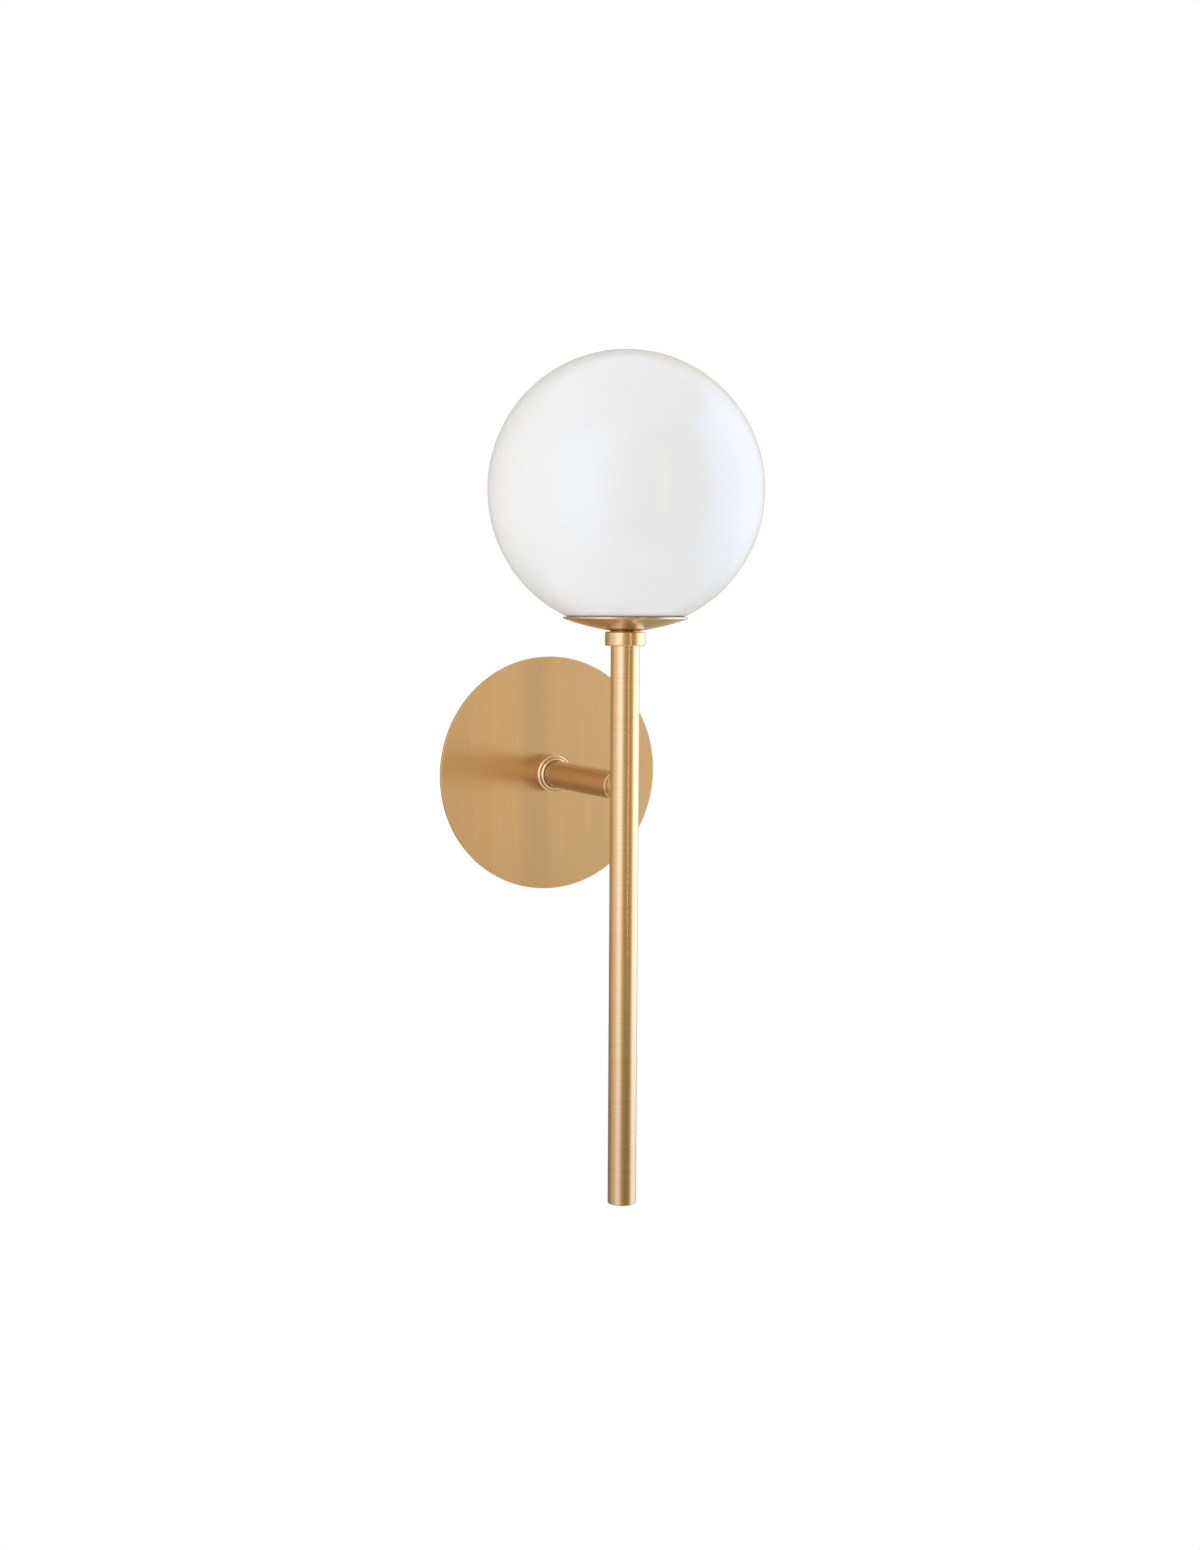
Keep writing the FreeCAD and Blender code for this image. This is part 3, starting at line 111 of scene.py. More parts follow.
SEAT_DEPTH = 3.5 * MM
FLARE_RADIUS = 27.0 * MM  # where the flare round the seat ends
FLARE_HEIGHT = 1.05 * MM
GLOBE_MOUTH = 25.4 * MM

# Roundings of small edges, from one that only stops a knife edge to one that a file leaves
KEEN = 0.08 * MM
CRISP = 0.1 * MM
EASED = 0.15 * MM
FILED = 0.2 * MM

CUTTER_PAST = 1 * MM  # how far a cutter runs past a face


# Colours and sizes that a user would change

def linear_colour(code):
    """Turns an sRGB hex code such as "C8A06E" into linear red, green, blue and full alpha."""
    channels = np.array([int(code[place:place + 2], 16) for place in (0, 2, 4)]) / 255
    low = channels / 12.92
    high = ((channels + 0.055) / 1.055) ** 2.4
    return (*np.where(channels <= 0.04045, low, high).tolist(), 1.0)


def length_property(label, note, metres):
    """Gives a property that holds a length."""
    return FloatProperty(name=label, description=note, default=metres, min=0.0, unit="LENGTH",
                         precision=5)


def colour_property(label, note, code):
    """Gives a property that holds a colour, from its sRGB hex code."""
    return FloatVectorProperty(name=label, description=note, default=linear_colour(code), size=4,
                               min=0.0, max=1.0, subtype="COLOR")


class SconceSizes(bpy.types.PropertyGroup):
    """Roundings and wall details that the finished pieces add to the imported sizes."""

    plate_round: length_property("Plate edge", "Rounding of the backplate's front edge", 0.35 * MM)
    collar_bevel: length_property("Collar edges", "Bevel on the slip collar's two steps", 0.75 * MM)
    arm_round: length_property("Arm end", "Rounding of the arm tube's outer end", 0.7 * MM)
    plug_round: length_property("Stem end", "Rounding of the plug under the stem", 0.5 * MM)
    ring_round: length_property("Ring edges", "Rounding of the ring under the dish", 0.7 * MM)
    rim_round: length_property("Dish rim", "Rounding of the dish's rim", 0.4 * MM)
    tube_wall: length_property("Tube wall", "Wall of the arm and stem tubes", 1.5 * MM)
    glass_wall: length_property("Glass wall", "Wall of the globe", 3.0 * MM)


class SconceColours(bpy.types.PropertyGroup):
    """Colours of the finishes."""

    brass: colour_property("Satin brass", "Lacquered satin brass", "E0B780")
    opal: colour_property("Opal glass", "Body of the opal globe", "F5F5F6")
    zinc: colour_property("Zinc plate", "Zinc plated steel", "C4C6C8")
    phenolic_black: colour_property("Phenolic", "Black moulded lampholder", "1E1D1C")
    earth_green: colour_property("Earth green", "Green dyed earth screw", "3F8F55")


def sizes():
    """Gives the scene's sizes."""
    return bpy.context.scene.sconce_sizes


def colours():
    """Gives the scene's colours."""
    return bpy.context.scene.sconce_colours


# Outlines

def rounded(corners, steps=6, guard=0.06 * MM):
    """Gives the points of an outline whose corners are rounded.

    A corner is (radius, along) where it is sharp or a point of a curve, or (radius, along,
    rounding). A rounding is an arc that touches both sides: it starts rounding / tan(half the
    corner's angle) before the corner. One point more stands on each side of it, so that the
    flats next to it shade flat.
    """
    points = [np.array(corner[:2], float) for corner in corners]
    made = []
    for index, corner in enumerate(corners):
        here = points[index]
        if len(corner) == 2:
            made.append(here[None])
            continue
        rounding = corner[2]
        before = points[index - 1] - here
        after = points[(index + 1) % len(points)] - here
        before /= np.linalg.norm(before)
        after /= np.linalg.norm(after)
        half = math.acos(np.clip(before @ after, -1, 1)) / 2
        setback = rounding / math.tan(half)
        inward = (before + after) / np.linalg.norm(before + after)
        middle = here + inward * rounding / math.sin(half)
        first = (here + before * setback - middle) / rounding
        last = (here + after * setback - middle) / rounding
        swing = math.acos(np.clip(first @ last, -1, 1))
        share = np.linspace(0, 1, steps + 1)[:, None]
        arc = np.sin((1 - share) * swing) * first + np.sin(share * swing) * last
        made.append((here + before * (setback + guard))[None])
        made.append(middle + arc / math.sin(swing) * rounding)
        made.append((here + after * (setback + guard))[None])
    return np.concatenate(made)


def arc_points(middle, radius, start, end, count):
    """Gives points on an arc from start to end, both in degrees from the outward direction."""
    angles = np.radians(np.linspace(start, end, count))
    return np.stack([middle[0] + radius * np.cos(angles), middle[1] + radius * np.sin(angles)], 1)


def arc_between(start, end, radius, count):
    """Gives points on the flat arc of a radius that runs outward from start to end and sags.

    Its middle is square to the chord, sqrt(radius^2 - (chord / 2)^2) away from it.
    """
    chord = end - start
    half = np.linalg.norm(chord) / 2
    inward = np.array([-chord[1], chord[0]]) / (2 * half)
    middle = (start + end) / 2 + inward * math.sqrt(radius ** 2 - half ** 2)
    first, last = (math.degrees(math.atan2(*(point - middle)[::-1])) for point in (start, end))
    return arc_points(middle, radius, first, last, count)


def as_corners(points):
    """Gives the points of a curve as sharp corners of an outline."""
    return [tuple(point) for point in points]


# Surfaces

def add_object(name, data):
    """Puts mesh, lamp or camera data into the scene as an object."""
    thing = bpy.data.objects.new(name, data)
    bpy.context.scene.collection.objects.link(thing)
    return thing


def signed_volume(points, faces):
    """Gives the volume inside closed faces: the sum of the pyramids from the origin."""
    volume = 0.0
    for second in range(1, faces.shape[1] - 1):
        a, b, c = points[faces[:, 0]], points[faces[:, second]], points[faces[:, second + 1]]
        volume += np.einsum("ij,ij->i", a, np.cross(b, c)).sum() / 6
    return volume


def shade_smooth(mesh, smooth_angle):
    """Shades a mesh smoothly, apart from edges that turn by more than an angle in degrees."""
    mesh.polygons.foreach_set("use_smooth", np.ones(len(mesh.polygons), bool))
    mesh.update()
    mesh.set_sharp_from_angle(angle=math.radians(smooth_angle))


def new_piece(name, points, quads, triangles, smooth_angle):
    """Puts a closed surface into an object, with its faces turned outward and smoothly shaded."""
    if signed_volume(points, quads) + signed_volume(points, triangles) < 0:
        quads = quads[:, ::-1]
        triangles = triangles[:, ::-1]
    mesh = bpy.data.meshes.new(name)
    mesh.from_pydata(points, [], quads.tolist() + triangles.tolist())
    shade_smooth(mesh, smooth_angle)
    return add_object(name, mesh)


def swept_round(outline, axis, origin, turns):
    """Carries an outline round an axis and gives its points, quads and triangles.

    Grid point (i, j) is at radius outline[i, 0] and distance outline[i, 1] along the axis,
    turned by 2 pi j / turns. The outline closes on itself, and a row of radius 0 becomes one
    point.
    """
    turn = np.arange(turns) * 2 * math.pi / turns
    radius = outline[:, 0][:, None] * np.ones(turns)
    along = outline[:, 1][:, None] + 0 * radius
    order = {"Y": [0, 2, 1], "Z": [0, 1, 2]}[axis]
    grid = np.stack([radius * np.cos(turn), radius * np.sin(turn), along], -1)[..., order]
    grid = grid + np.array(origin)
    rows = len(outline)
    number = np.arange(rows * turns).reshape(rows, turns)
    pole = outline[:, 0] < 1e-9
    number[pole] = number[pole][:, :1]
    above = np.roll(number, -1, axis=0)
    quads = np.stack([number, np.roll(number, -1, axis=1), np.roll(above, -1, axis=1), above], -1)
    next_pole = np.roll(pole, -1)
    full = quads[~pole & ~next_pole].reshape(-1, 4)
    closing = quads[~pole & next_pole].reshape(-1, 4)[:, [0, 1, 3]]
    opening = quads[pole & ~next_pole].reshape(-1, 4)[:, [0, 2, 3]]
    corners = np.concatenate([full.ravel(), closing.ravel(), opening.ravel()])
    used, renumbered = np.unique(corners, return_inverse=True)
    return (grid.reshape(-1, 3)[used], renumbered[:full.size].reshape(-1, 4),
            renumbered[full.size:].reshape(-1, 3))


def turned(name, outline, axis, origin, turns=160, smooth_angle=35):
    """Makes a turned piece: an outline of (radius, along) points carried round an axis."""
    points, quads, triangles = swept_round(np.asarray(outline), axis, origin, turns)
    return new_piece(name, points, quads, triangles, smooth_angle)


def plain_pin(axis, origin, radius, low, high, turns=48):
    """Makes a round cutter along an axis: a circle carried from low to high."""
    outline = [(0, low), (radius, low), (radius, high), (0, high)]
    return turned("cutter", outline, axis, origin, turns)


def drilled(piece, tool, smooth_angle=35):
    """Cuts a tool out of a piece and keeps the result as its mesh."""
    cut = piece.modifiers.new("hole", "BOOLEAN")
    cut.object = tool
    cut.operation = "DIFFERENCE"
    cut.solver = "EXACT"
    bpy.context.view_layer.update()
    graph = bpy.context.evaluated_depsgraph_get()
    mesh = bpy.data.meshes.new_from_object(piece.evaluated_get(graph))
    piece.modifiers.clear()
    piece.data = mesh
    mesh.name = piece.name
    shade_smooth(mesh, smooth_angle)
    bpy.data.objects.remove(tool)


def dress(piece, material, body, slot, *nodes):
    """Gives a piece its finish and its body, and hides the imported nodes that it stands for; slot
    is not used.
    """
    piece.data.materials.clear()
    piece.data.materials.append(material)
    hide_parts(*nodes)
    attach(piece, body)


# Materials

NOISE_LOW, NOISE_HIGH = 0.3, 0.7  # a noise keeps mostly between these two values
DARKEST = 0.82  # share of a colour that is left where a pattern is darkest


def set_node(node, **settings):
    """Sets a node's fields and sockets.

    A setting named after one of the node's own fields sets that. Any other one, with _ for a
    space, sets the socket of that name.
    """
    for key, value in settings.items():
        if hasattr(node, key):
            setattr(node, key, value)
        else:
            node.inputs[key.replace("_", " ")].default_value = value


def add_node(tree, kind, links=(), **settings):
    """Adds a node with its settings and links. Each link is (socket, source socket)."""
    node = tree.nodes.new(kind)
    set_node(node, **settings)
    for socket, source in links:
        tree.links.new(source, node.inputs[socket])
    return node


def empty_material(name):
    """Starts a material and gives it with its empty tree."""
    material = bpy.data.materials.new(name)
    material.use_nodes = True
    material.node_tree.nodes.clear()
    return material, material.node_tree


def new_material(name):
    """Starts a material and gives it with its tree and its shader."""
    material, tree = empty_material(name)
    shader = add_node(tree, "ShaderNodeBsdfPrincipled")
    add_node(tree, "ShaderNodeOutputMaterial", [("Surface", shader.outputs["BSDF"])])
    return material, tree, shader


def vary(tree, shader, colour, tone, faintest, grain, rough, strength, height):
    """Lets two patterns vary a shader.

    tone moves the colour between DARKEST times the colour and all of it, from the share faintest
    up. grain moves the roughness between the two values of rough, and raises the surface by
    height, seen at a strength.
    """
    share = add_node(tree, "ShaderNodeMapRange", [("Value", tone)], From_Min=NOISE_LOW,
                     From_Max=NOISE_HIGH, To_Min=faintest, To_Max=1.0)
    # Sockets 6 and 7 are the mix's two colours, and output 2 is the mixed one.
    mixed = add_node(tree, "ShaderNodeMix", [("Factor", share.outputs["Result"])],
                     data_type="RGBA")
    mixed.inputs[6].default_value = (*(channel * DARKEST for channel in colour[:3]), 1.0)
    mixed.inputs[7].default_value = (*colour[:3], 1.0)
    gloss = add_node(tree, "ShaderNodeMapRange", [("Value", grain)], From_Min=NOISE_LOW,
                     From_Max=NOISE_HIGH, To_Min=rough[0], To_Max=rough[1])
    bump = add_node(tree, "ShaderNodeBump", [("Height", grain)], Strength=strength,
                    Distance=height)
    tree.links.new(mixed.outputs[2], shader.inputs["Base Color"])
    tree.links.new(gloss.outputs["Result"], shader.inputs["Roughness"])
    tree.links.new(bump.outputs["Normal"], shader.inputs["Normal"])


def even_noise(tree, spacing, detail, roughness):
    """Gives a noise whose grains are a spacing apart, the same in every direction."""
    place = add_node(tree, "ShaderNodeTexCoord").outputs["Object"]
    noise = add_node(tree, "ShaderNodeTexNoise", [("Vector", place)], Scale=1 / spacing,
                     Detail=detail, Roughness=roughness)
    return noise.outputs["Fac"]


def line_pattern(tree, way, origin, spacing, run):
    """Gives a noise drawn out into fine lines.

    way says how the lines lie: "rings_z" and "rings_y" go round the axis through origin, where
    the noise follows sqrt(x^2 + other^2) + along, and "upright" go straight up. spacing is the
    distance between lines and run their length.
    """
    place = add_node(tree, "ShaderNodeTexCoord").outputs["Object"]
    centred = add_node(tree, "ShaderNodeMapping", [("Vector", place)],
                       Location=[-value for value in origin])
    x, y, z = add_node(tree, "ShaderNodeSeparateXYZ", [("Vector", centred.outputs[0])]).outputs
    if way == "upright":
        fast, slow, slower = x, z, y
    else:
        along, other = (z, y) if way == "rings_z" else (y, z)
        square = add_node(tree, "ShaderNodeMath", [(0, x), (1, x)], operation="MULTIPLY")
        squares = add_node(tree, "ShaderNodeMath", [(0, other), (1, other),
                                                    (2, square.outputs[0])],
                           operation="MULTIPLY_ADD")
        radius = add_node(tree, "ShaderNodeMath", [(0, squares.outputs[0])], operation="SQRT")
        total = add_node(tree, "ShaderNodeMath", [(0, radius.outputs[0]), (1, along)],
                         operation="ADD")
        fast, slow, slower = total.outputs[0], x, other
    joined = add_node(tree, "ShaderNodeCombineXYZ", [("X", fast), ("Y", slow), ("Z", slower)])
    scaled = add_node(tree, "ShaderNodeMapping", [("Vector", joined.outputs[0])],
                      Scale=(1 / spacing, 1 / run, 1 / run))
    noise = add_node(tree, "ShaderNodeTexNoise", [("Vector", scaled.outputs[0])], Scale=1.0,
                     Detail=3.0, Roughness=0.6)
    return noise.outputs["Fac"]


def satin_brass(name, way, origin, rough=(0.23, 0.26), painted_shade_factor=1.0, faintest=0.35):
    """Brass tube and sheet, brushed with fine abrasive and sprayed with clear lacquer.

    The brushing spreads reflections across its lines, and the lacquer lays a thin whitish gloss
    over the warm metal. The lines are 0.1 mm apart on the real piece, and drawn 0.6 mm apart here
    so that they show. On the flat plate they are straight and upright, so its highlights are
    drawn out level. The darkening factor scales the brass down: painted shade, which makes a
    piece look darker than its lighting makes it.
    """
    material, tree, shader = new_material(name)
    lines = line_pattern(tree, way, origin, spacing=0.6 * MM, run=30 * MM)
    drift = line_pattern(tree, way, origin, spacing=1.2 * MM, run=60 * MM)
    brass = [channel * painted_shade_factor for channel in colours().brass[:3]]
    vary(tree, shader, brass, drift, faintest, lines, rough, strength=0.06, height=0.01 * MM)
    set_node(shader, Metallic=1.0, Coat_Weight=1.0, Coat_Roughness=0.12, Coat_IOR=1.5)
    if way == "upright":
        across = add_node(tree, "ShaderNodeCombineXYZ", X=1.0)
        tree.links.new(across.outputs[0], shader.inputs["Tangent"])
        set_node(shader, Anisotropic=0.85)
    return material


def opal_glass():
    """White opal glass, blown in a mould: an even milky body under a smooth glossy skin, whose
    slow waves are 28 mm apart."""
    material, tree, shader = new_material("opal_glass")
    waves = even_noise(tree, 28 * MM, detail=1.0, roughness=0.4)
    vary(tree, shader, colours().opal, tone=waves, faintest=0.94, grain=waves, rough=(0.16, 0.22),
         strength=0.25, height=0.1 * MM)
    set_node(shader, IOR=1.52, Subsurface_Weight=0.6, Subsurface_Scale=8 * MM,
             Subsurface_Radius=(1.0, 1.0, 1.0))
    return material


def plated_metal(name, colour, spacing, rough, height):
    """Plated or turned metal: a mottled, slightly uneven gloss without a coat."""
    material, tree, shader = new_material(name)
    grain = even_noise(tree, spacing, detail=4.0, roughness=0.65)
    vary(tree, shader, colour, tone=grain, faintest=0.5, grain=grain, rough=rough, strength=0.2,
         height=height)
    set_node(shader, Metallic=1.0)
    return material


def moulded(name, colour, spacing, rough, ior=1.5):
    """Moulded plastic, rubber or glass: even colour with a faint grain in its gloss."""
    material, tree, shader = new_material(name)
    grain = even_noise(tree, spacing, detail=3.0, roughness=0.55)
    vary(tree, shader, colour, tone=grain, faintest=0.8, grain=grain, rough=rough, strength=0.15,
         height=0.02 * MM)
    set_node(shader, IOR=ior)
    return material


# Visible pieces

def make_backplate():
    """A thin round disc with a hole for the arm; its front edge is a small quarter round."""
    radius = node_radius("backplate")
    front, back = node_span("backplate", 1)
    outline = rounded([
        (PLATE_HOLE, front, FILED), (radius, front, sizes().plate_round),
        (radius, back, EASED), (PLATE_HOLE, back, FILED)])
    piece = turned("backplate_disc", outline, "Y", ARM_AXIS, turns=256)
    brass = satin_brass("satin_brass_sheet", "upright", ARM_AXIS, rough=(0.28, 0.32),
                        faintest=0.75)
    dress(piece, brass, "backplate", "satin_brass", "backplate")


def make_slip_collar():
    """A stepped ring: a wide band and a narrow lip, each with a bright turned bevel, with the
    hole for its screw cut from below."""
    radius = node_radius("slip_collar")
    front, back = node_span("slip_collar", 1)
    step = front + LIP_LENGTH
    bevel = sizes().collar_bevel
    outline = rounded([
        (COLLAR_BORE, back, EASED), (COLLAR_BORE, front, KEEN),
        (LIP_RADIUS - bevel, front, EASED), (LIP_RADIUS, front + bevel, EASED),
        (LIP_RADIUS, step, CRISP),
        (radius - bevel, step, EASED), (radius, step + bevel, EASED), (radius, back, EASED)])
    piece = turned("slip_collar_ring", outline, "Y", ARM_AXIS)
    screw = node_middle("collar_grub_screw")
    drilled(piece, plain_pin("Z", (0, screw.y, 0), SCREW_HOLE, -radius - 2 * CUTTER_PAST,
                             -COLLAR_BORE + CUTTER_PAST))
    brass = satin_brass("satin_brass_collar", "rings_y", ARM_AXIS)
    dress(piece, brass, "collar", "satin_brass", "slip_collar")


def make_arm_tube():
    """The level tube; its outer end is a shallow cone that falls back from the stem, with a
    small round edge."""
    radius = node_radius("arm_tube")
    back = node_span("arm_tube", 1)[1]
    front = node_span("arm_end_bush", 1)[0]
    bore = radius - sizes().tube_wall
    bore_front = front + ARM_FALL * (bore - ARM_NOSE) / (radius - ARM_NOSE)
    outline = rounded([
        (bore, back, CRISP), (bore, bore_front), (radius, front + ARM_FALL, sizes().arm_round),
        (radius, back, FILED)])
    piece = turned("arm_tube_brushed", outline, "Y", ARM_AXIS)
    # Painted shade: the arm's brass is darkened to nine tenths, so that the arm looks darker than
    # its lighting makes it.
    brass = satin_brass("satin_brass_arm", "rings_y", ARM_AXIS, painted_shade_factor=0.9)
    dress(piece, brass, "fixture", "satin_brass", "arm_tube")


def make_stem():
    """The upright tube, with the hole in its back for the arm's threaded tube, and the plug that
    closes it below: a flange under the tube and a hollow spigot inside it."""
    radius = node_radius("stem_tube")
    low, high = node_span("stem_tube", 2)
    bore = radius - sizes().tube_wall
    outline = rounded([
        (bore, low, CRISP), (radius, low, KEEN), (radius, high, EASED), (bore, high, EASED)])
    tube = turned("stem_tube_brushed", outline, "Z", STEM_AXIS)
    drilled(tube, plain_pin("Y", (0, 0, 0), CROSS_HOLE, STEM_Y, STEM_Y + radius + CUTTER_PAST))
    brass = satin_brass("satin_brass_stem", "rings_z", STEM_AXIS)
    dress(tube, brass, "fixture", "satin_brass", "stem_tube")
    foot, top = node_span("stem_bottom_plug", 2)
    spigot = bore - TUBE_GAP
    hollow = spigot - SPIGOT_WALL
    flange_ease, spigot_ease = 0.06 * MM, 0.3 * MM
    outline = rounded([
        (0, foot), (radius, foot, sizes().plug_round), (radius, low, flange_ease),
        (spigot, low), (spigot, top, spigot_ease), (hollow, top, FILED),
        (hollow, low, FILED), (0, low)])
    plug = turned("stem_end_plug", outline, "Z", STEM_AXIS)
    dress(plug, brass, "fixture", "satin_brass", "stem_bottom_plug")


def make_top_ring():
    """The turned ring under the dish, with both its edges eased."""
    radius = node_radius("top_ring")
    low, high = node_span("top_ring", 2)
    stem_high = node_span("stem_tube", 2)[1]
    socket = node_radius("stem_tube") + TUBE_GAP
    ease = sizes().ring_round
    outline = rounded([
        (socket, low, EASED), (radius, low, ease), (radius, high, ease),
        (NIPPLE_HOLE, high, CRISP), (NIPPLE_HOLE, stem_high, CRISP), (socket, stem_high)])
    piece = turned("top_ring_turned", outline, "Z", STEM_AXIS)
    brass = satin_brass("satin_brass_ring", "rings_z", STEM_AXIS)
    dress(piece, brass, "fixture", "satin_brass", "top_ring")


def make_dish():
    """The shallow dish: a hollow curve round its boss, one long arc from there to the rim, and
    on top a flat seat with a flare, and a ledge inside the rim."""
    radius = node_radius("fitter_dish")
    low, high = node_span("fitter_dish", 2)
    rim_round = sizes().rim_round
    rim_low = high - RIM_HEIGHT
    seat = high - SEAT_DEPTH
    seat_ease = 0.5 * MM
    cove = arc_points((BOSS_RADIUS, low), BOSS_RADIUS - BOSS_FOOT, 180, 100, 8)
    underside = arc_between(np.array([BOSS_RADIUS, low + BOSS_RISE - BOSS_STEP]),
                            np.array([radius - rim_round, rim_low]), DISH_SWEEP, 40)
    rim = arc_points((radius - rim_round, rim_low + rim_round), rim_round, -72, 0, 7)
    outline = rounded([
        (NIPPLE_HOLE, low, CRISP), (BOSS_FOOT, low), *as_corners(cove), *as_corners(underside),
        *as_corners(rim), (radius, high, FILED), (radius - RIM_WALL, high, FILED),
        (FLARE_RADIUS, seat + FLARE_HEIGHT, seat_ease), (SEAT_RADIUS, seat, seat_ease),
        (NIPPLE_HOLE, seat, CRISP)])
    piece = turned("fitter_dish_turned", outline, "Z", STEM_AXIS, turns=224)
    brass = satin_brass("satin_brass_dish", "rings_z", STEM_AXIS)
    dress(piece, brass, "fixture", "satin_brass", "fitter_dish")


def make_globe():
    """The opal ball: two spheres about one centre, joined by a rounded mouth below.

    A sphere meets the mouth where its angle is acos(radius there / the sphere's radius).
    """
    radius = node_radius("globe_glass")
    inner = radius - sizes().glass_wall
    middle = (0.0, GLOBE_HEIGHT)
    mouth_round, mouth_arc = 1.0 * MM, 1.05 * MM  # the rounding under the mouth, and its radius
    bevel, bevel_height = 0.6 * MM, 0.7 * MM  # inside the mouth
    outer_start = -math.degrees(math.acos((GLOBE_MOUTH + mouth_round) / radius))
    inner_start = -math.degrees(math.acos((GLOBE_MOUTH + bevel) / inner))
    outside = arc_points(middle, radius, outer_start, 90, 110)
    inside = arc_points(middle, inner, 90, inner_start, 70)
    outside[-1, 0] = 0
    inside[0, 0] = 0
    lip_low = outside[0, 1] + mouth_round
    lip = [(GLOBE_MOUTH, inside[-1, 1] - bevel_height), (GLOBE_MOUTH, lip_low)]
    turn = arc_points((GLOBE_MOUTH + mouth_arc, lip_low), mouth_arc, 190, 262, 6)
    outline = np.concatenate([outside, inside, lip, turn])
    piece = turned("globe_opal", outline, "Z", STEM_AXIS, turns=240, smooth_angle=60)
    dress(piece, opal_glass(), "globe", "opal_glass", "globe_glass")


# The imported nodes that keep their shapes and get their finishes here

def inner_finishes():
    """Gives each remaining material slot its finish."""
    shade = colours()
    return {
        # Brushed and lacquered like the tube round it: a warm satin sheen in rings.
        "satin_brass": satin_brass("satin_brass_face", "rings_y", ARM_AXIS),
        # Brass as turned: yellower than the lacquered pieces, with a livelier gloss.
        "plain_brass": plated_metal("turned_brass", linear_colour("DCC07E"), 0.6 * MM,
                                    (0.22, 0.36), 0.01 * MM),
        # Pressed steel, zinc plated: a cool grey, a little mottled.
        "zinc_steel": plated_metal("zinc_plated_steel", shade.zinc, 1.2 * MM, (0.28, 0.46),
                                   0.02 * MM),
        # Plated steel dyed green: the metal's gloss under a thin colour.
        "green_screw": plated_metal("green_dyed_steel", shade.earth_green, 0.8 * MM,
                                    (0.3, 0.42), 0.01 * MM),
        # Glass etched inside: a soft white without a clear reflection.
        "lamp_glass": moulded("frosted_lamp_glass", linear_colour("ECECE8"), 0.5 * MM,
                              (0.35, 0.5)),
        # Polyamide from a fine mould: an off-white, between matt and silky.
        "white_plastic": moulded("white_polyamide", linear_colour("E9E8E2"), 0.7 * MM,
                                 (0.4, 0.52)),
        # Phenolic pressed in a polished mould: black with a fair gloss.
        "black_phenolic": moulded("black_phenolic", shade.phenolic_black, 0.8 * MM, (0.26, 0.38),
                                  1.6),
        # Silicone rubber: pale and matt.
        "clear_silicone": moulded("pale_silicone", linear_colour("DADBD6"), 0.9 * MM,
                                  (0.45, 0.6), 1.41),
        # Drawn brass under bright nickel: a warm grey with a bright gloss.
        "nickel_plate": plated_metal("nickel_plated_cap", linear_colour("D3CFC4"), 0.5 * MM,
                                     (0.16, 0.26), 0.005 * MM),
        # Solder set from a drop: dull and uneven.
        "solder": plated_metal("lead_free_solder", linear_colour("BDBFC0"), 0.5 * MM, (0.3, 0.5),
                               0.03 * MM),
        # Black glass poured into the lamp's cap: near black and glassy.
        "vitrite": moulded("black_vitrite", linear_colour("17151A"), 0.6 * MM, (0.08, 0.16), 1.52),
        # Phosphor laid on a strip: a powdery yellow.
        "phosphor_strip": moulded("phosphor_coating", linear_colour("F2CE5B"), 0.3 * MM,
                                  (0.5, 0.65)),
        # PVC extruded round a wire: a smooth, waxy gloss, black for one and white for the other.
        "live_insulation": moulded("black_pvc_insulation", linear_colour("1B1B1D"), 0.5 * MM,
                                   (0.3, 0.42), 1.53),
        "neutral_insulation": moulded("white_pvc_insulation", linear_colour("E8E6DF"), 0.5 * MM,
                                      (0.3, 0.42), 1.53),
    }


# Brass pieces with a face in sight, which is finished like the tube round it
SATIN_NODES = {"arm_end_bush": "satin_brass"}


def finish_inner_nodes():
    """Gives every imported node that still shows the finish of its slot."""
    finishes = inner_finishes()
    for part in frame["record"]["subparts"]:
        node = frame["nodes"][part["node"]]
        if node.hide_render:
            continue
        finish = finishes[SATIN_NODES.get(part["node"], part["material_slot"])]
        if not node.material_slots:
            node.data.materials.append(finish)
        for place in node.material_slots:
            place.material = finish


# Stage

FRONT = -24.0  # the camera's azimuth, in degrees from -Y towards +X
FULL_TURN = 360

# What reflections see round the object: pairs of azimuth from the camera, left negative, and
# level
DRUM_LEVELS = [
    (-180, 0.42), (-140, 0.42), (-116, 0.52), (-100, 0.85), (-80, 1.05), (-60, 1.25), (-50, 1.6),
    (-28, 1.7), (-22, 1.35), (-12, 0.95), (0, 0.60), (12, 0.48), (25, 0.40), (44, 0.42),
    (50, 0.56), (62, 0.72), (70, 1.4), (80, 2.0), (110, 2.1), (124, 1.8), (140, 1.3),
    (160, 0.7), (180, 0.42)]
DRUM_TOP_LEVEL = 2.4  # the level that full white stands for in the drum's ramp
DRUM_DIM_TINT = (1.0, 0.87, 0.6)  # tint of the dim panels, which throw warm light back
DRUM_BRIGHT_TINT = (0.93, 1.1, 1.45)  # tint of the bright panels, which are daylight
DRUM_TINT_FROM = 0.7  # the level up to which a panel has the dim tint
DRUM_TINT_OVER = 0.9  # how many levels further it has the bright one
DRUM_HEADROOM = 1.5  # divides the ramp's colours, which can't pass 1, and multiplies the glow
DRUM_FOOT_SHARE = 0.66  # share of the glow below the drum's fade
DRUM_FADE = (-0.6, -0.22)  # heights between which the glow rises to full


def studio_place(azimuth, distance, height):
    """Gives a place round the object from an azimuth relative to the camera, left negative."""
    angle = math.radians(FRONT + azimuth)
    return Vector((distance * math.sin(angle), STEM_Y - distance * math.cos(angle), height))


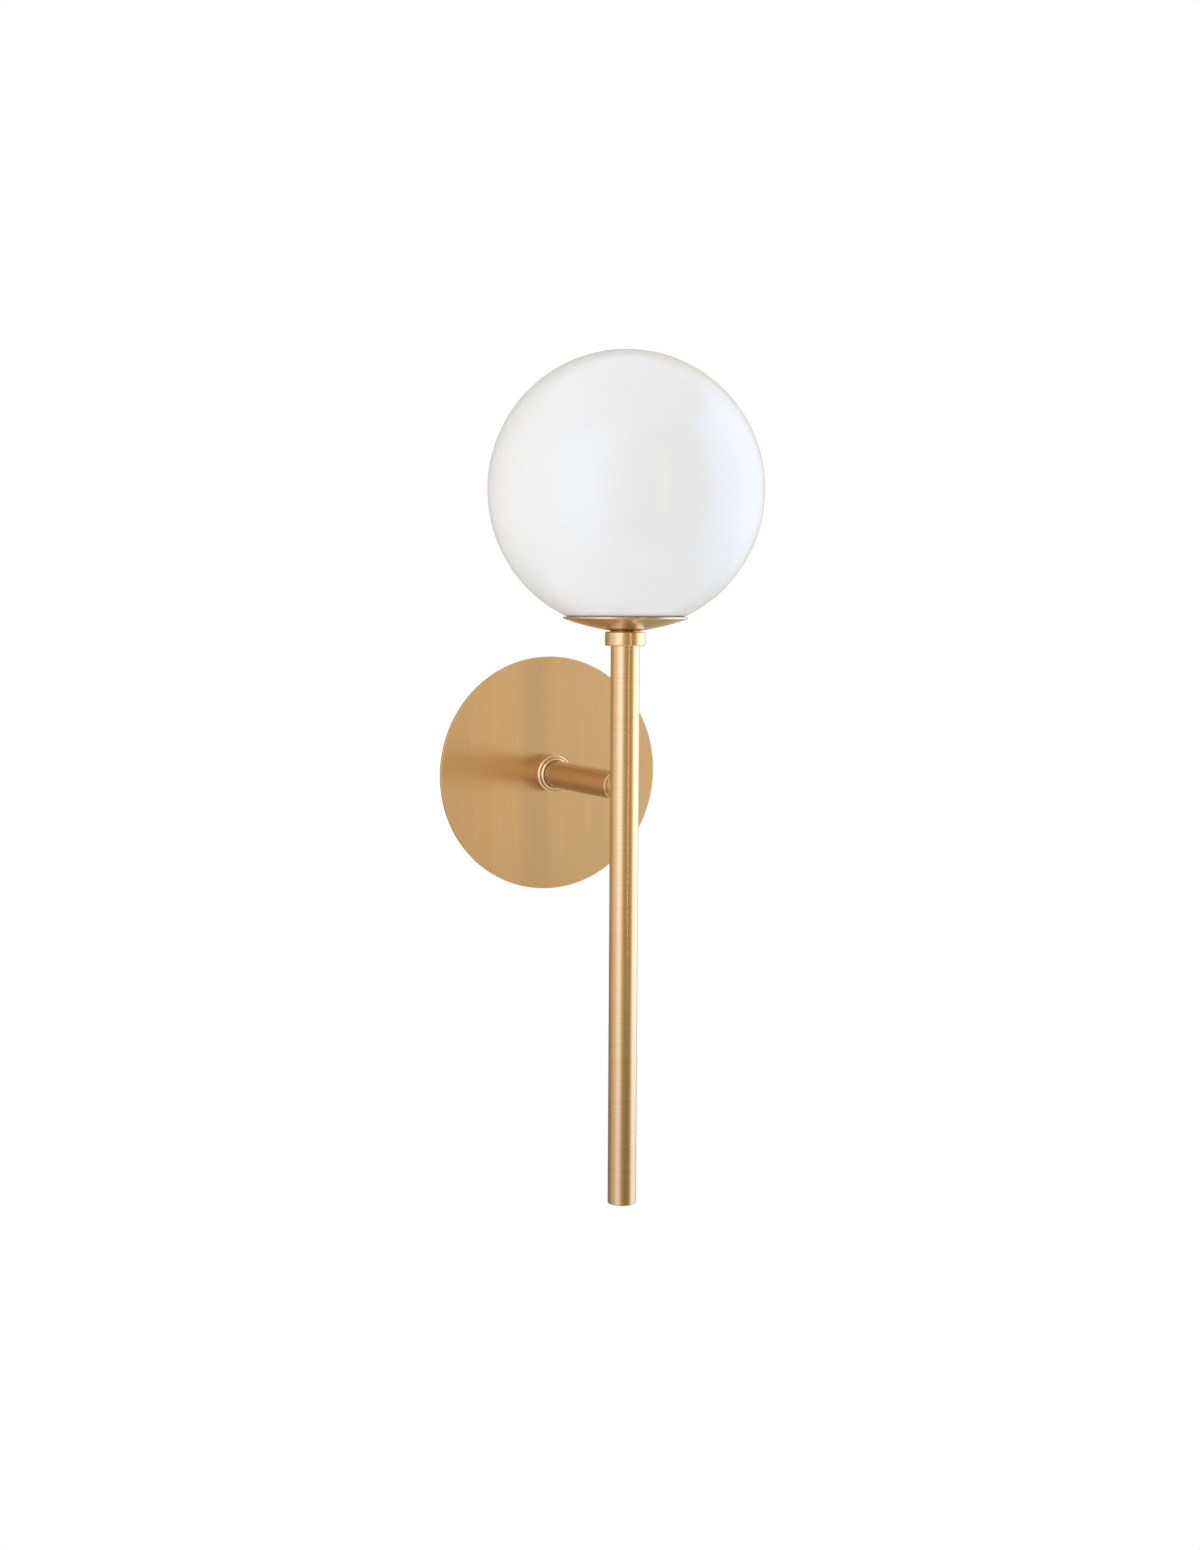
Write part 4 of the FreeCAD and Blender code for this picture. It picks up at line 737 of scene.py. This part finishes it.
def circle_points(radius, height, turns):
    """Gives points (radius cos a, radius sin a) round the stem's axis at one height.

    A column of radii gives one circle after another.
    """
    angles = np.arange(turns) * 2 * math.pi / turns
    x, y = radius * np.cos(angles), STEM_Y + radius * np.sin(angles)
    return np.stack([x, y, np.full(x.shape, height)], -1).reshape(-1, 3)


def only_reflected(piece):
    """Leaves a piece of the stage to reflections alone."""
    piece.visible_camera = False
    piece.visible_diffuse = False
    piece.visible_shadow = False
    piece.visible_transmission = False


def add_stage_mesh(name, points, faces, material):
    """Puts a mesh of the stage into the scene with its material."""
    mesh = bpy.data.meshes.new(name)
    mesh.from_pydata(points, [], faces)
    mesh.materials.append(material)
    return add_object(name, mesh)


def add_softbox(name, azimuth, height, distance, width, tall, radiance):
    """Adds a rectangular soft lamp that faces the stem at half its own height.

    Its power is radiance * pi * area, as for a surface that glows evenly.
    """
    data = bpy.data.lights.new(name, "AREA")
    data.shape = "RECTANGLE"
    data.size = width
    data.size_y = tall
    data.energy = radiance * math.pi * width * tall
    lamp = add_object(name, data)
    lamp.visible_glossy = False
    place = studio_place(azimuth, distance, height)
    aim = (Vector((0, STEM_Y, height * 0.5)) - place).to_track_quat("-Z", "Y")
    lamp.matrix_world = Matrix.Translation(place) @ aim.to_matrix().to_4x4()


def drum_colour(level):
    """Gives a level as a colour: its tint goes from dim to bright with the level."""
    share = min(max((level - DRUM_TINT_FROM) / DRUM_TINT_OVER, 0.0), 1.0)
    return [level / DRUM_TOP_LEVEL * (dim + (bright - dim) * share) / DRUM_HEADROOM
            for dim, bright in zip(DRUM_DIM_TINT, DRUM_BRIGHT_TINT)]


def drum_panels():
    """Glow of the drum: it follows the azimuth round the stem by DRUM_LEVELS, and fades below."""
    material, tree = empty_material("reflector_panels")
    place = add_node(tree, "ShaderNodeTexCoord").outputs["Object"]
    centred = add_node(tree, "ShaderNodeMapping", [("Vector", place)], Location=(0, -STEM_Y, 0))
    # This turn brings the camera's azimuth to the middle of the gradient.
    facing = add_node(tree, "ShaderNodeMapping", [("Vector", centred.outputs[0])],
                      Rotation=(0, 0, math.radians(90 - FRONT)))
    azimuths = add_node(tree, "ShaderNodeTexGradient", [("Vector", facing.outputs[0])],
                        gradient_type="RADIAL")
    levels = add_node(tree, "ShaderNodeValToRGB", [("Fac", azimuths.outputs["Fac"])])
    stops = levels.color_ramp.elements
    while len(stops) > 1:
        stops.remove(stops[-1])
    for count, (azimuth, level) in enumerate(DRUM_LEVELS):
        share = (azimuth + FULL_TURN / 2) / FULL_TURN
        stop = stops[0] if count == 0 else stops.new(share)
        stop.position = share
        stop.color = (*drum_colour(level), 1)
    height = add_node(tree, "ShaderNodeSeparateXYZ", [("Vector", place)]).outputs["Z"]
    full = DRUM_HEADROOM * DRUM_TOP_LEVEL
    strength = add_node(tree, "ShaderNodeMapRange", [("Value", height)], From_Min=DRUM_FADE[0],
                        From_Max=DRUM_FADE[1], To_Min=DRUM_FOOT_SHARE * full, To_Max=full)
    glow = add_node(tree, "ShaderNodeEmission", [("Color", levels.outputs["Color"]),
                                                 ("Strength", strength.outputs["Result"])])
    add_node(tree, "ShaderNodeOutputMaterial", [("Surface", glow.outputs[0])])
    return material


def add_drum():
    """Adds an upright drum round the object that only reflections see, with soft panels on it:
    two circles of points, joined by a band of faces."""
    radius, low, high, turns = 1.45, -1.19, 1.6, 96
    points = np.concatenate([circle_points(radius, low, turns), circle_points(radius, high, turns)])
    index = np.arange(turns)
    following = (index + 1) % turns
    faces = np.stack([index, following, following + turns, index + turns], 1)
    only_reflected(add_stage_mesh("reflector_drum", points, faces.tolist(), drum_panels()))


def add_strip(name, azimuth, distance, width, low, high, level):
    """Adds a narrow upright card that only reflections see, just inside the drum."""
    middle = studio_place(azimuth, distance, 0)
    side = studio_place(azimuth + 90, 1, 0) - studio_place(azimuth + 90, 0, 0)
    points = [middle + side * across + Vector((0, 0, height)) for across, height in (
        (-width / 2, low), (width / 2, low), (width / 2, high), (-width / 2, high))]
    material, tree = empty_material(name)
    glow = add_node(tree, "ShaderNodeEmission", Color=(*DRUM_DIM_TINT, 1), Strength=level)
    add_node(tree, "ShaderNodeOutputMaterial", [("Surface", glow.outputs[0])])
    only_reflected(add_stage_mesh(name, points, [(0, 1, 2, 3)], material))


def make_floor():
    """A pale round floor, well below a light that hangs on a wall; its edge fades out.

    Its points are its middle and circles of evenly growing radius, with rings of faces between
    them.
    """
    radius, level, rings, turns = 1.4, -1.2, 24, 96
    fade_start, fade_end = radius * 0.45, radius * 0.98
    material, tree = empty_material("pale_floor")
    place = add_node(tree, "ShaderNodeTexCoord").outputs["Object"]
    centred = add_node(tree, "ShaderNodeMapping", [("Vector", place)],
                       Location=(0, -STEM_Y, -level))
    away = add_node(tree, "ShaderNodeVectorMath", [(0, centred.outputs[0])], operation="LENGTH")
    fade = add_node(tree, "ShaderNodeMapRange", [("Value", away.outputs["Value"])],
                    From_Min=fade_start, From_Max=fade_end, To_Min=0.0, To_Max=1.0)
    pale = add_node(tree, "ShaderNodeBsdfDiffuse", Color=linear_colour("F4F4F2"))
    clear = add_node(tree, "ShaderNodeBsdfTransparent")
    mixed = add_node(tree, "ShaderNodeMixShader", [("Fac", fade.outputs["Result"]),
                                                  (1, pale.outputs[0]), (2, clear.outputs[0])])
    add_node(tree, "ShaderNodeOutputMaterial", [("Surface", mixed.outputs[0])])
    circles = circle_points(np.linspace(0, radius, rings)[1:, None], level, turns)
    points = np.concatenate([[[0, STEM_Y, level]], circles])
    number = 1 + np.arange(len(circles)).reshape(-1, turns)
    beside = np.roll(number, -1, axis=1)
    quads = np.stack([number[:-1], number[1:], beside[1:], beside[:-1]], -1).reshape(-1, 4)
    fan = np.stack([np.zeros(turns, int), number[0], beside[0]], -1)
    floor = add_stage_mesh("floor", points, quads.tolist() + fan.tolist(), material)


def make_world():
    """White to the camera and in reflections, and a softer level for the light that it sheds."""
    world = bpy.data.worlds.new("studio")
    world.use_nodes = True
    tree = world.node_tree
    tree.nodes.clear()
    path = add_node(tree, "ShaderNodeLightPath").outputs
    seen = add_node(tree, "ShaderNodeMath", [(0, path["Is Camera Ray"]),
                                             (1, path["Is Glossy Ray"])], operation="MAXIMUM")
    shown = add_node(tree, "ShaderNodeMath", [(0, seen.outputs[0]),
                                              (1, path["Is Transmission Ray"])],
                     operation="MAXIMUM")
    backdrop = add_node(tree, "ShaderNodeBackground", Color=(1, 1, 1, 1), Strength=1.0)
    ambient = add_node(tree, "ShaderNodeBackground", Color=(1, 1, 1, 1), Strength=0.97)
    mixed = add_node(tree, "ShaderNodeMixShader", [("Fac", shown.outputs[0]),
                                                  (1, ambient.outputs[0]),
                                                  (2, backdrop.outputs[0])])
    add_node(tree, "ShaderNodeOutputWorld", [("Surface", mixed.outputs[0])])
    bpy.context.scene.world = world


def make_camera():
    """The camera, placed and turned as the photograph was taken.

    It looks along its yaw from +Y towards +X and its pitch above level, and rolls about that.
    """
    place = Vector((-0.47471, -1.06482, 0.09736))
    yaw, pitch, roll = (math.radians(angle) for angle in (25.51, -5.033, 0.297))
    forward = Vector((math.sin(yaw) * math.cos(pitch), math.cos(yaw) * math.cos(pitch),
                      math.sin(pitch)))
    level = Vector((math.cos(yaw), -math.sin(yaw), 0))
    rise = level.cross(forward)
    right = level * math.cos(roll) + rise * math.sin(roll)
    up = rise * math.cos(roll) - level * math.sin(roll)
    data = bpy.data.cameras.new("camera")
    data.lens = 45.696
    data.sensor_width = 36.0
    data.shift_x = 0.00050
    data.shift_y = 0.00440
    camera = add_object("camera", data)
    turn = Matrix((right, up, -forward)).transposed().to_4x4()
    camera.matrix_world = Matrix.Translation(place) @ turn
    bpy.context.scene.camera = camera


def make_stage():
    """The world, floor, lamp, reflected panels and camera."""
    make_world()
    make_floor()
    add_softbox("left_softbox", azimuth=-55, height=0.1, distance=1.8, width=1.2, tall=1.6,
                radiance=0.75)
    add_drum()
    add_strip("reflected_strip", azimuth=29, distance=1.3, width=0.1, low=-0.32, high=0.9,
              level=2.6)
    make_camera()
    bpy.context.scene.view_settings.view_transform = "Standard"


# Operators

class SCONCE_OT_backplate(bpy.types.Operator):
    """Build the round backplate"""

    bl_idname = "sconce.backplate"
    bl_label = "Backplate"

    def execute(self, context):
        make_backplate()
        return {"FINISHED"}


class SCONCE_OT_collar(bpy.types.Operator):
    """Build the slip collar"""

    bl_idname = "sconce.collar"
    bl_label = "Slip collar"

    def execute(self, context):
        make_slip_collar()
        return {"FINISHED"}


class SCONCE_OT_arm(bpy.types.Operator):
    """Build the level arm"""

    bl_idname = "sconce.arm"
    bl_label = "Arm"

    def execute(self, context):
        make_arm_tube()
        return {"FINISHED"}


class SCONCE_OT_stem(bpy.types.Operator):
    """Build the stem and its end plug"""

    bl_idname = "sconce.stem"
    bl_label = "Stem"

    def execute(self, context):
        make_stem()
        return {"FINISHED"}


class SCONCE_OT_ring(bpy.types.Operator):
    """Build the ring under the dish"""

    bl_idname = "sconce.ring"
    bl_label = "Top ring"

    def execute(self, context):
        make_top_ring()
        return {"FINISHED"}


class SCONCE_OT_dish(bpy.types.Operator):
    """Build the dish that holds the globe"""

    bl_idname = "sconce.dish"
    bl_label = "Dish"

    def execute(self, context):
        make_dish()
        return {"FINISHED"}


class SCONCE_OT_globe(bpy.types.Operator):
    """Build the opal globe"""

    bl_idname = "sconce.globe"
    bl_label = "Globe"

    def execute(self, context):
        make_globe()
        return {"FINISHED"}


class SCONCE_OT_inner(bpy.types.Operator):
    """Finish the pieces inside and behind"""

    bl_idname = "sconce.inner"
    bl_label = "Inner pieces"

    def execute(self, context):
        finish_inner_nodes()
        return {"FINISHED"}


class SCONCE_OT_stage(bpy.types.Operator):
    """Build the floor, lights and camera"""

    bl_idname = "sconce.stage"
    bl_label = "Stage"

    def execute(self, context):
        make_stage()
        return {"FINISHED"}


STEPS = [SCONCE_OT_backplate, SCONCE_OT_collar, SCONCE_OT_arm, SCONCE_OT_stem, SCONCE_OT_ring,
         SCONCE_OT_dish, SCONCE_OT_globe, SCONCE_OT_inner, SCONCE_OT_stage]


class SCONCE_PT_panel(bpy.types.Panel):
    """Lists the steps in the 3D view's sidebar."""

    bl_label = "Globe wall sconce"
    bl_idname = "SCONCE_PT_panel"
    bl_space_type = "VIEW_3D"
    bl_region_type = "UI"
    bl_category = "Sconce"

    def draw(self, context):
        for step in STEPS:
            self.layout.operator(step.bl_idname)


CLASSES = [SconceSizes, SconceColours, *STEPS, SCONCE_PT_panel]


def register():
    """Registers the classes and gives the scene its sizes and colours."""
    for entry in CLASSES:
        bpy.utils.register_class(entry)
    bpy.types.Scene.sconce_sizes = PointerProperty(type=SconceSizes)
    bpy.types.Scene.sconce_colours = PointerProperty(type=SconceColours)


def unregister():
    """Undoes register, in reverse."""
    del bpy.types.Scene.sconce_colours
    del bpy.types.Scene.sconce_sizes
    for entry in reversed(CLASSES):
        bpy.utils.unregister_class(entry)


def main():
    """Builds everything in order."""
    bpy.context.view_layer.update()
    register()
    for step in STEPS:
        getattr(bpy.ops.sconce, step.bl_idname.split(".")[1])()


if __name__ == "__main__":
    main()
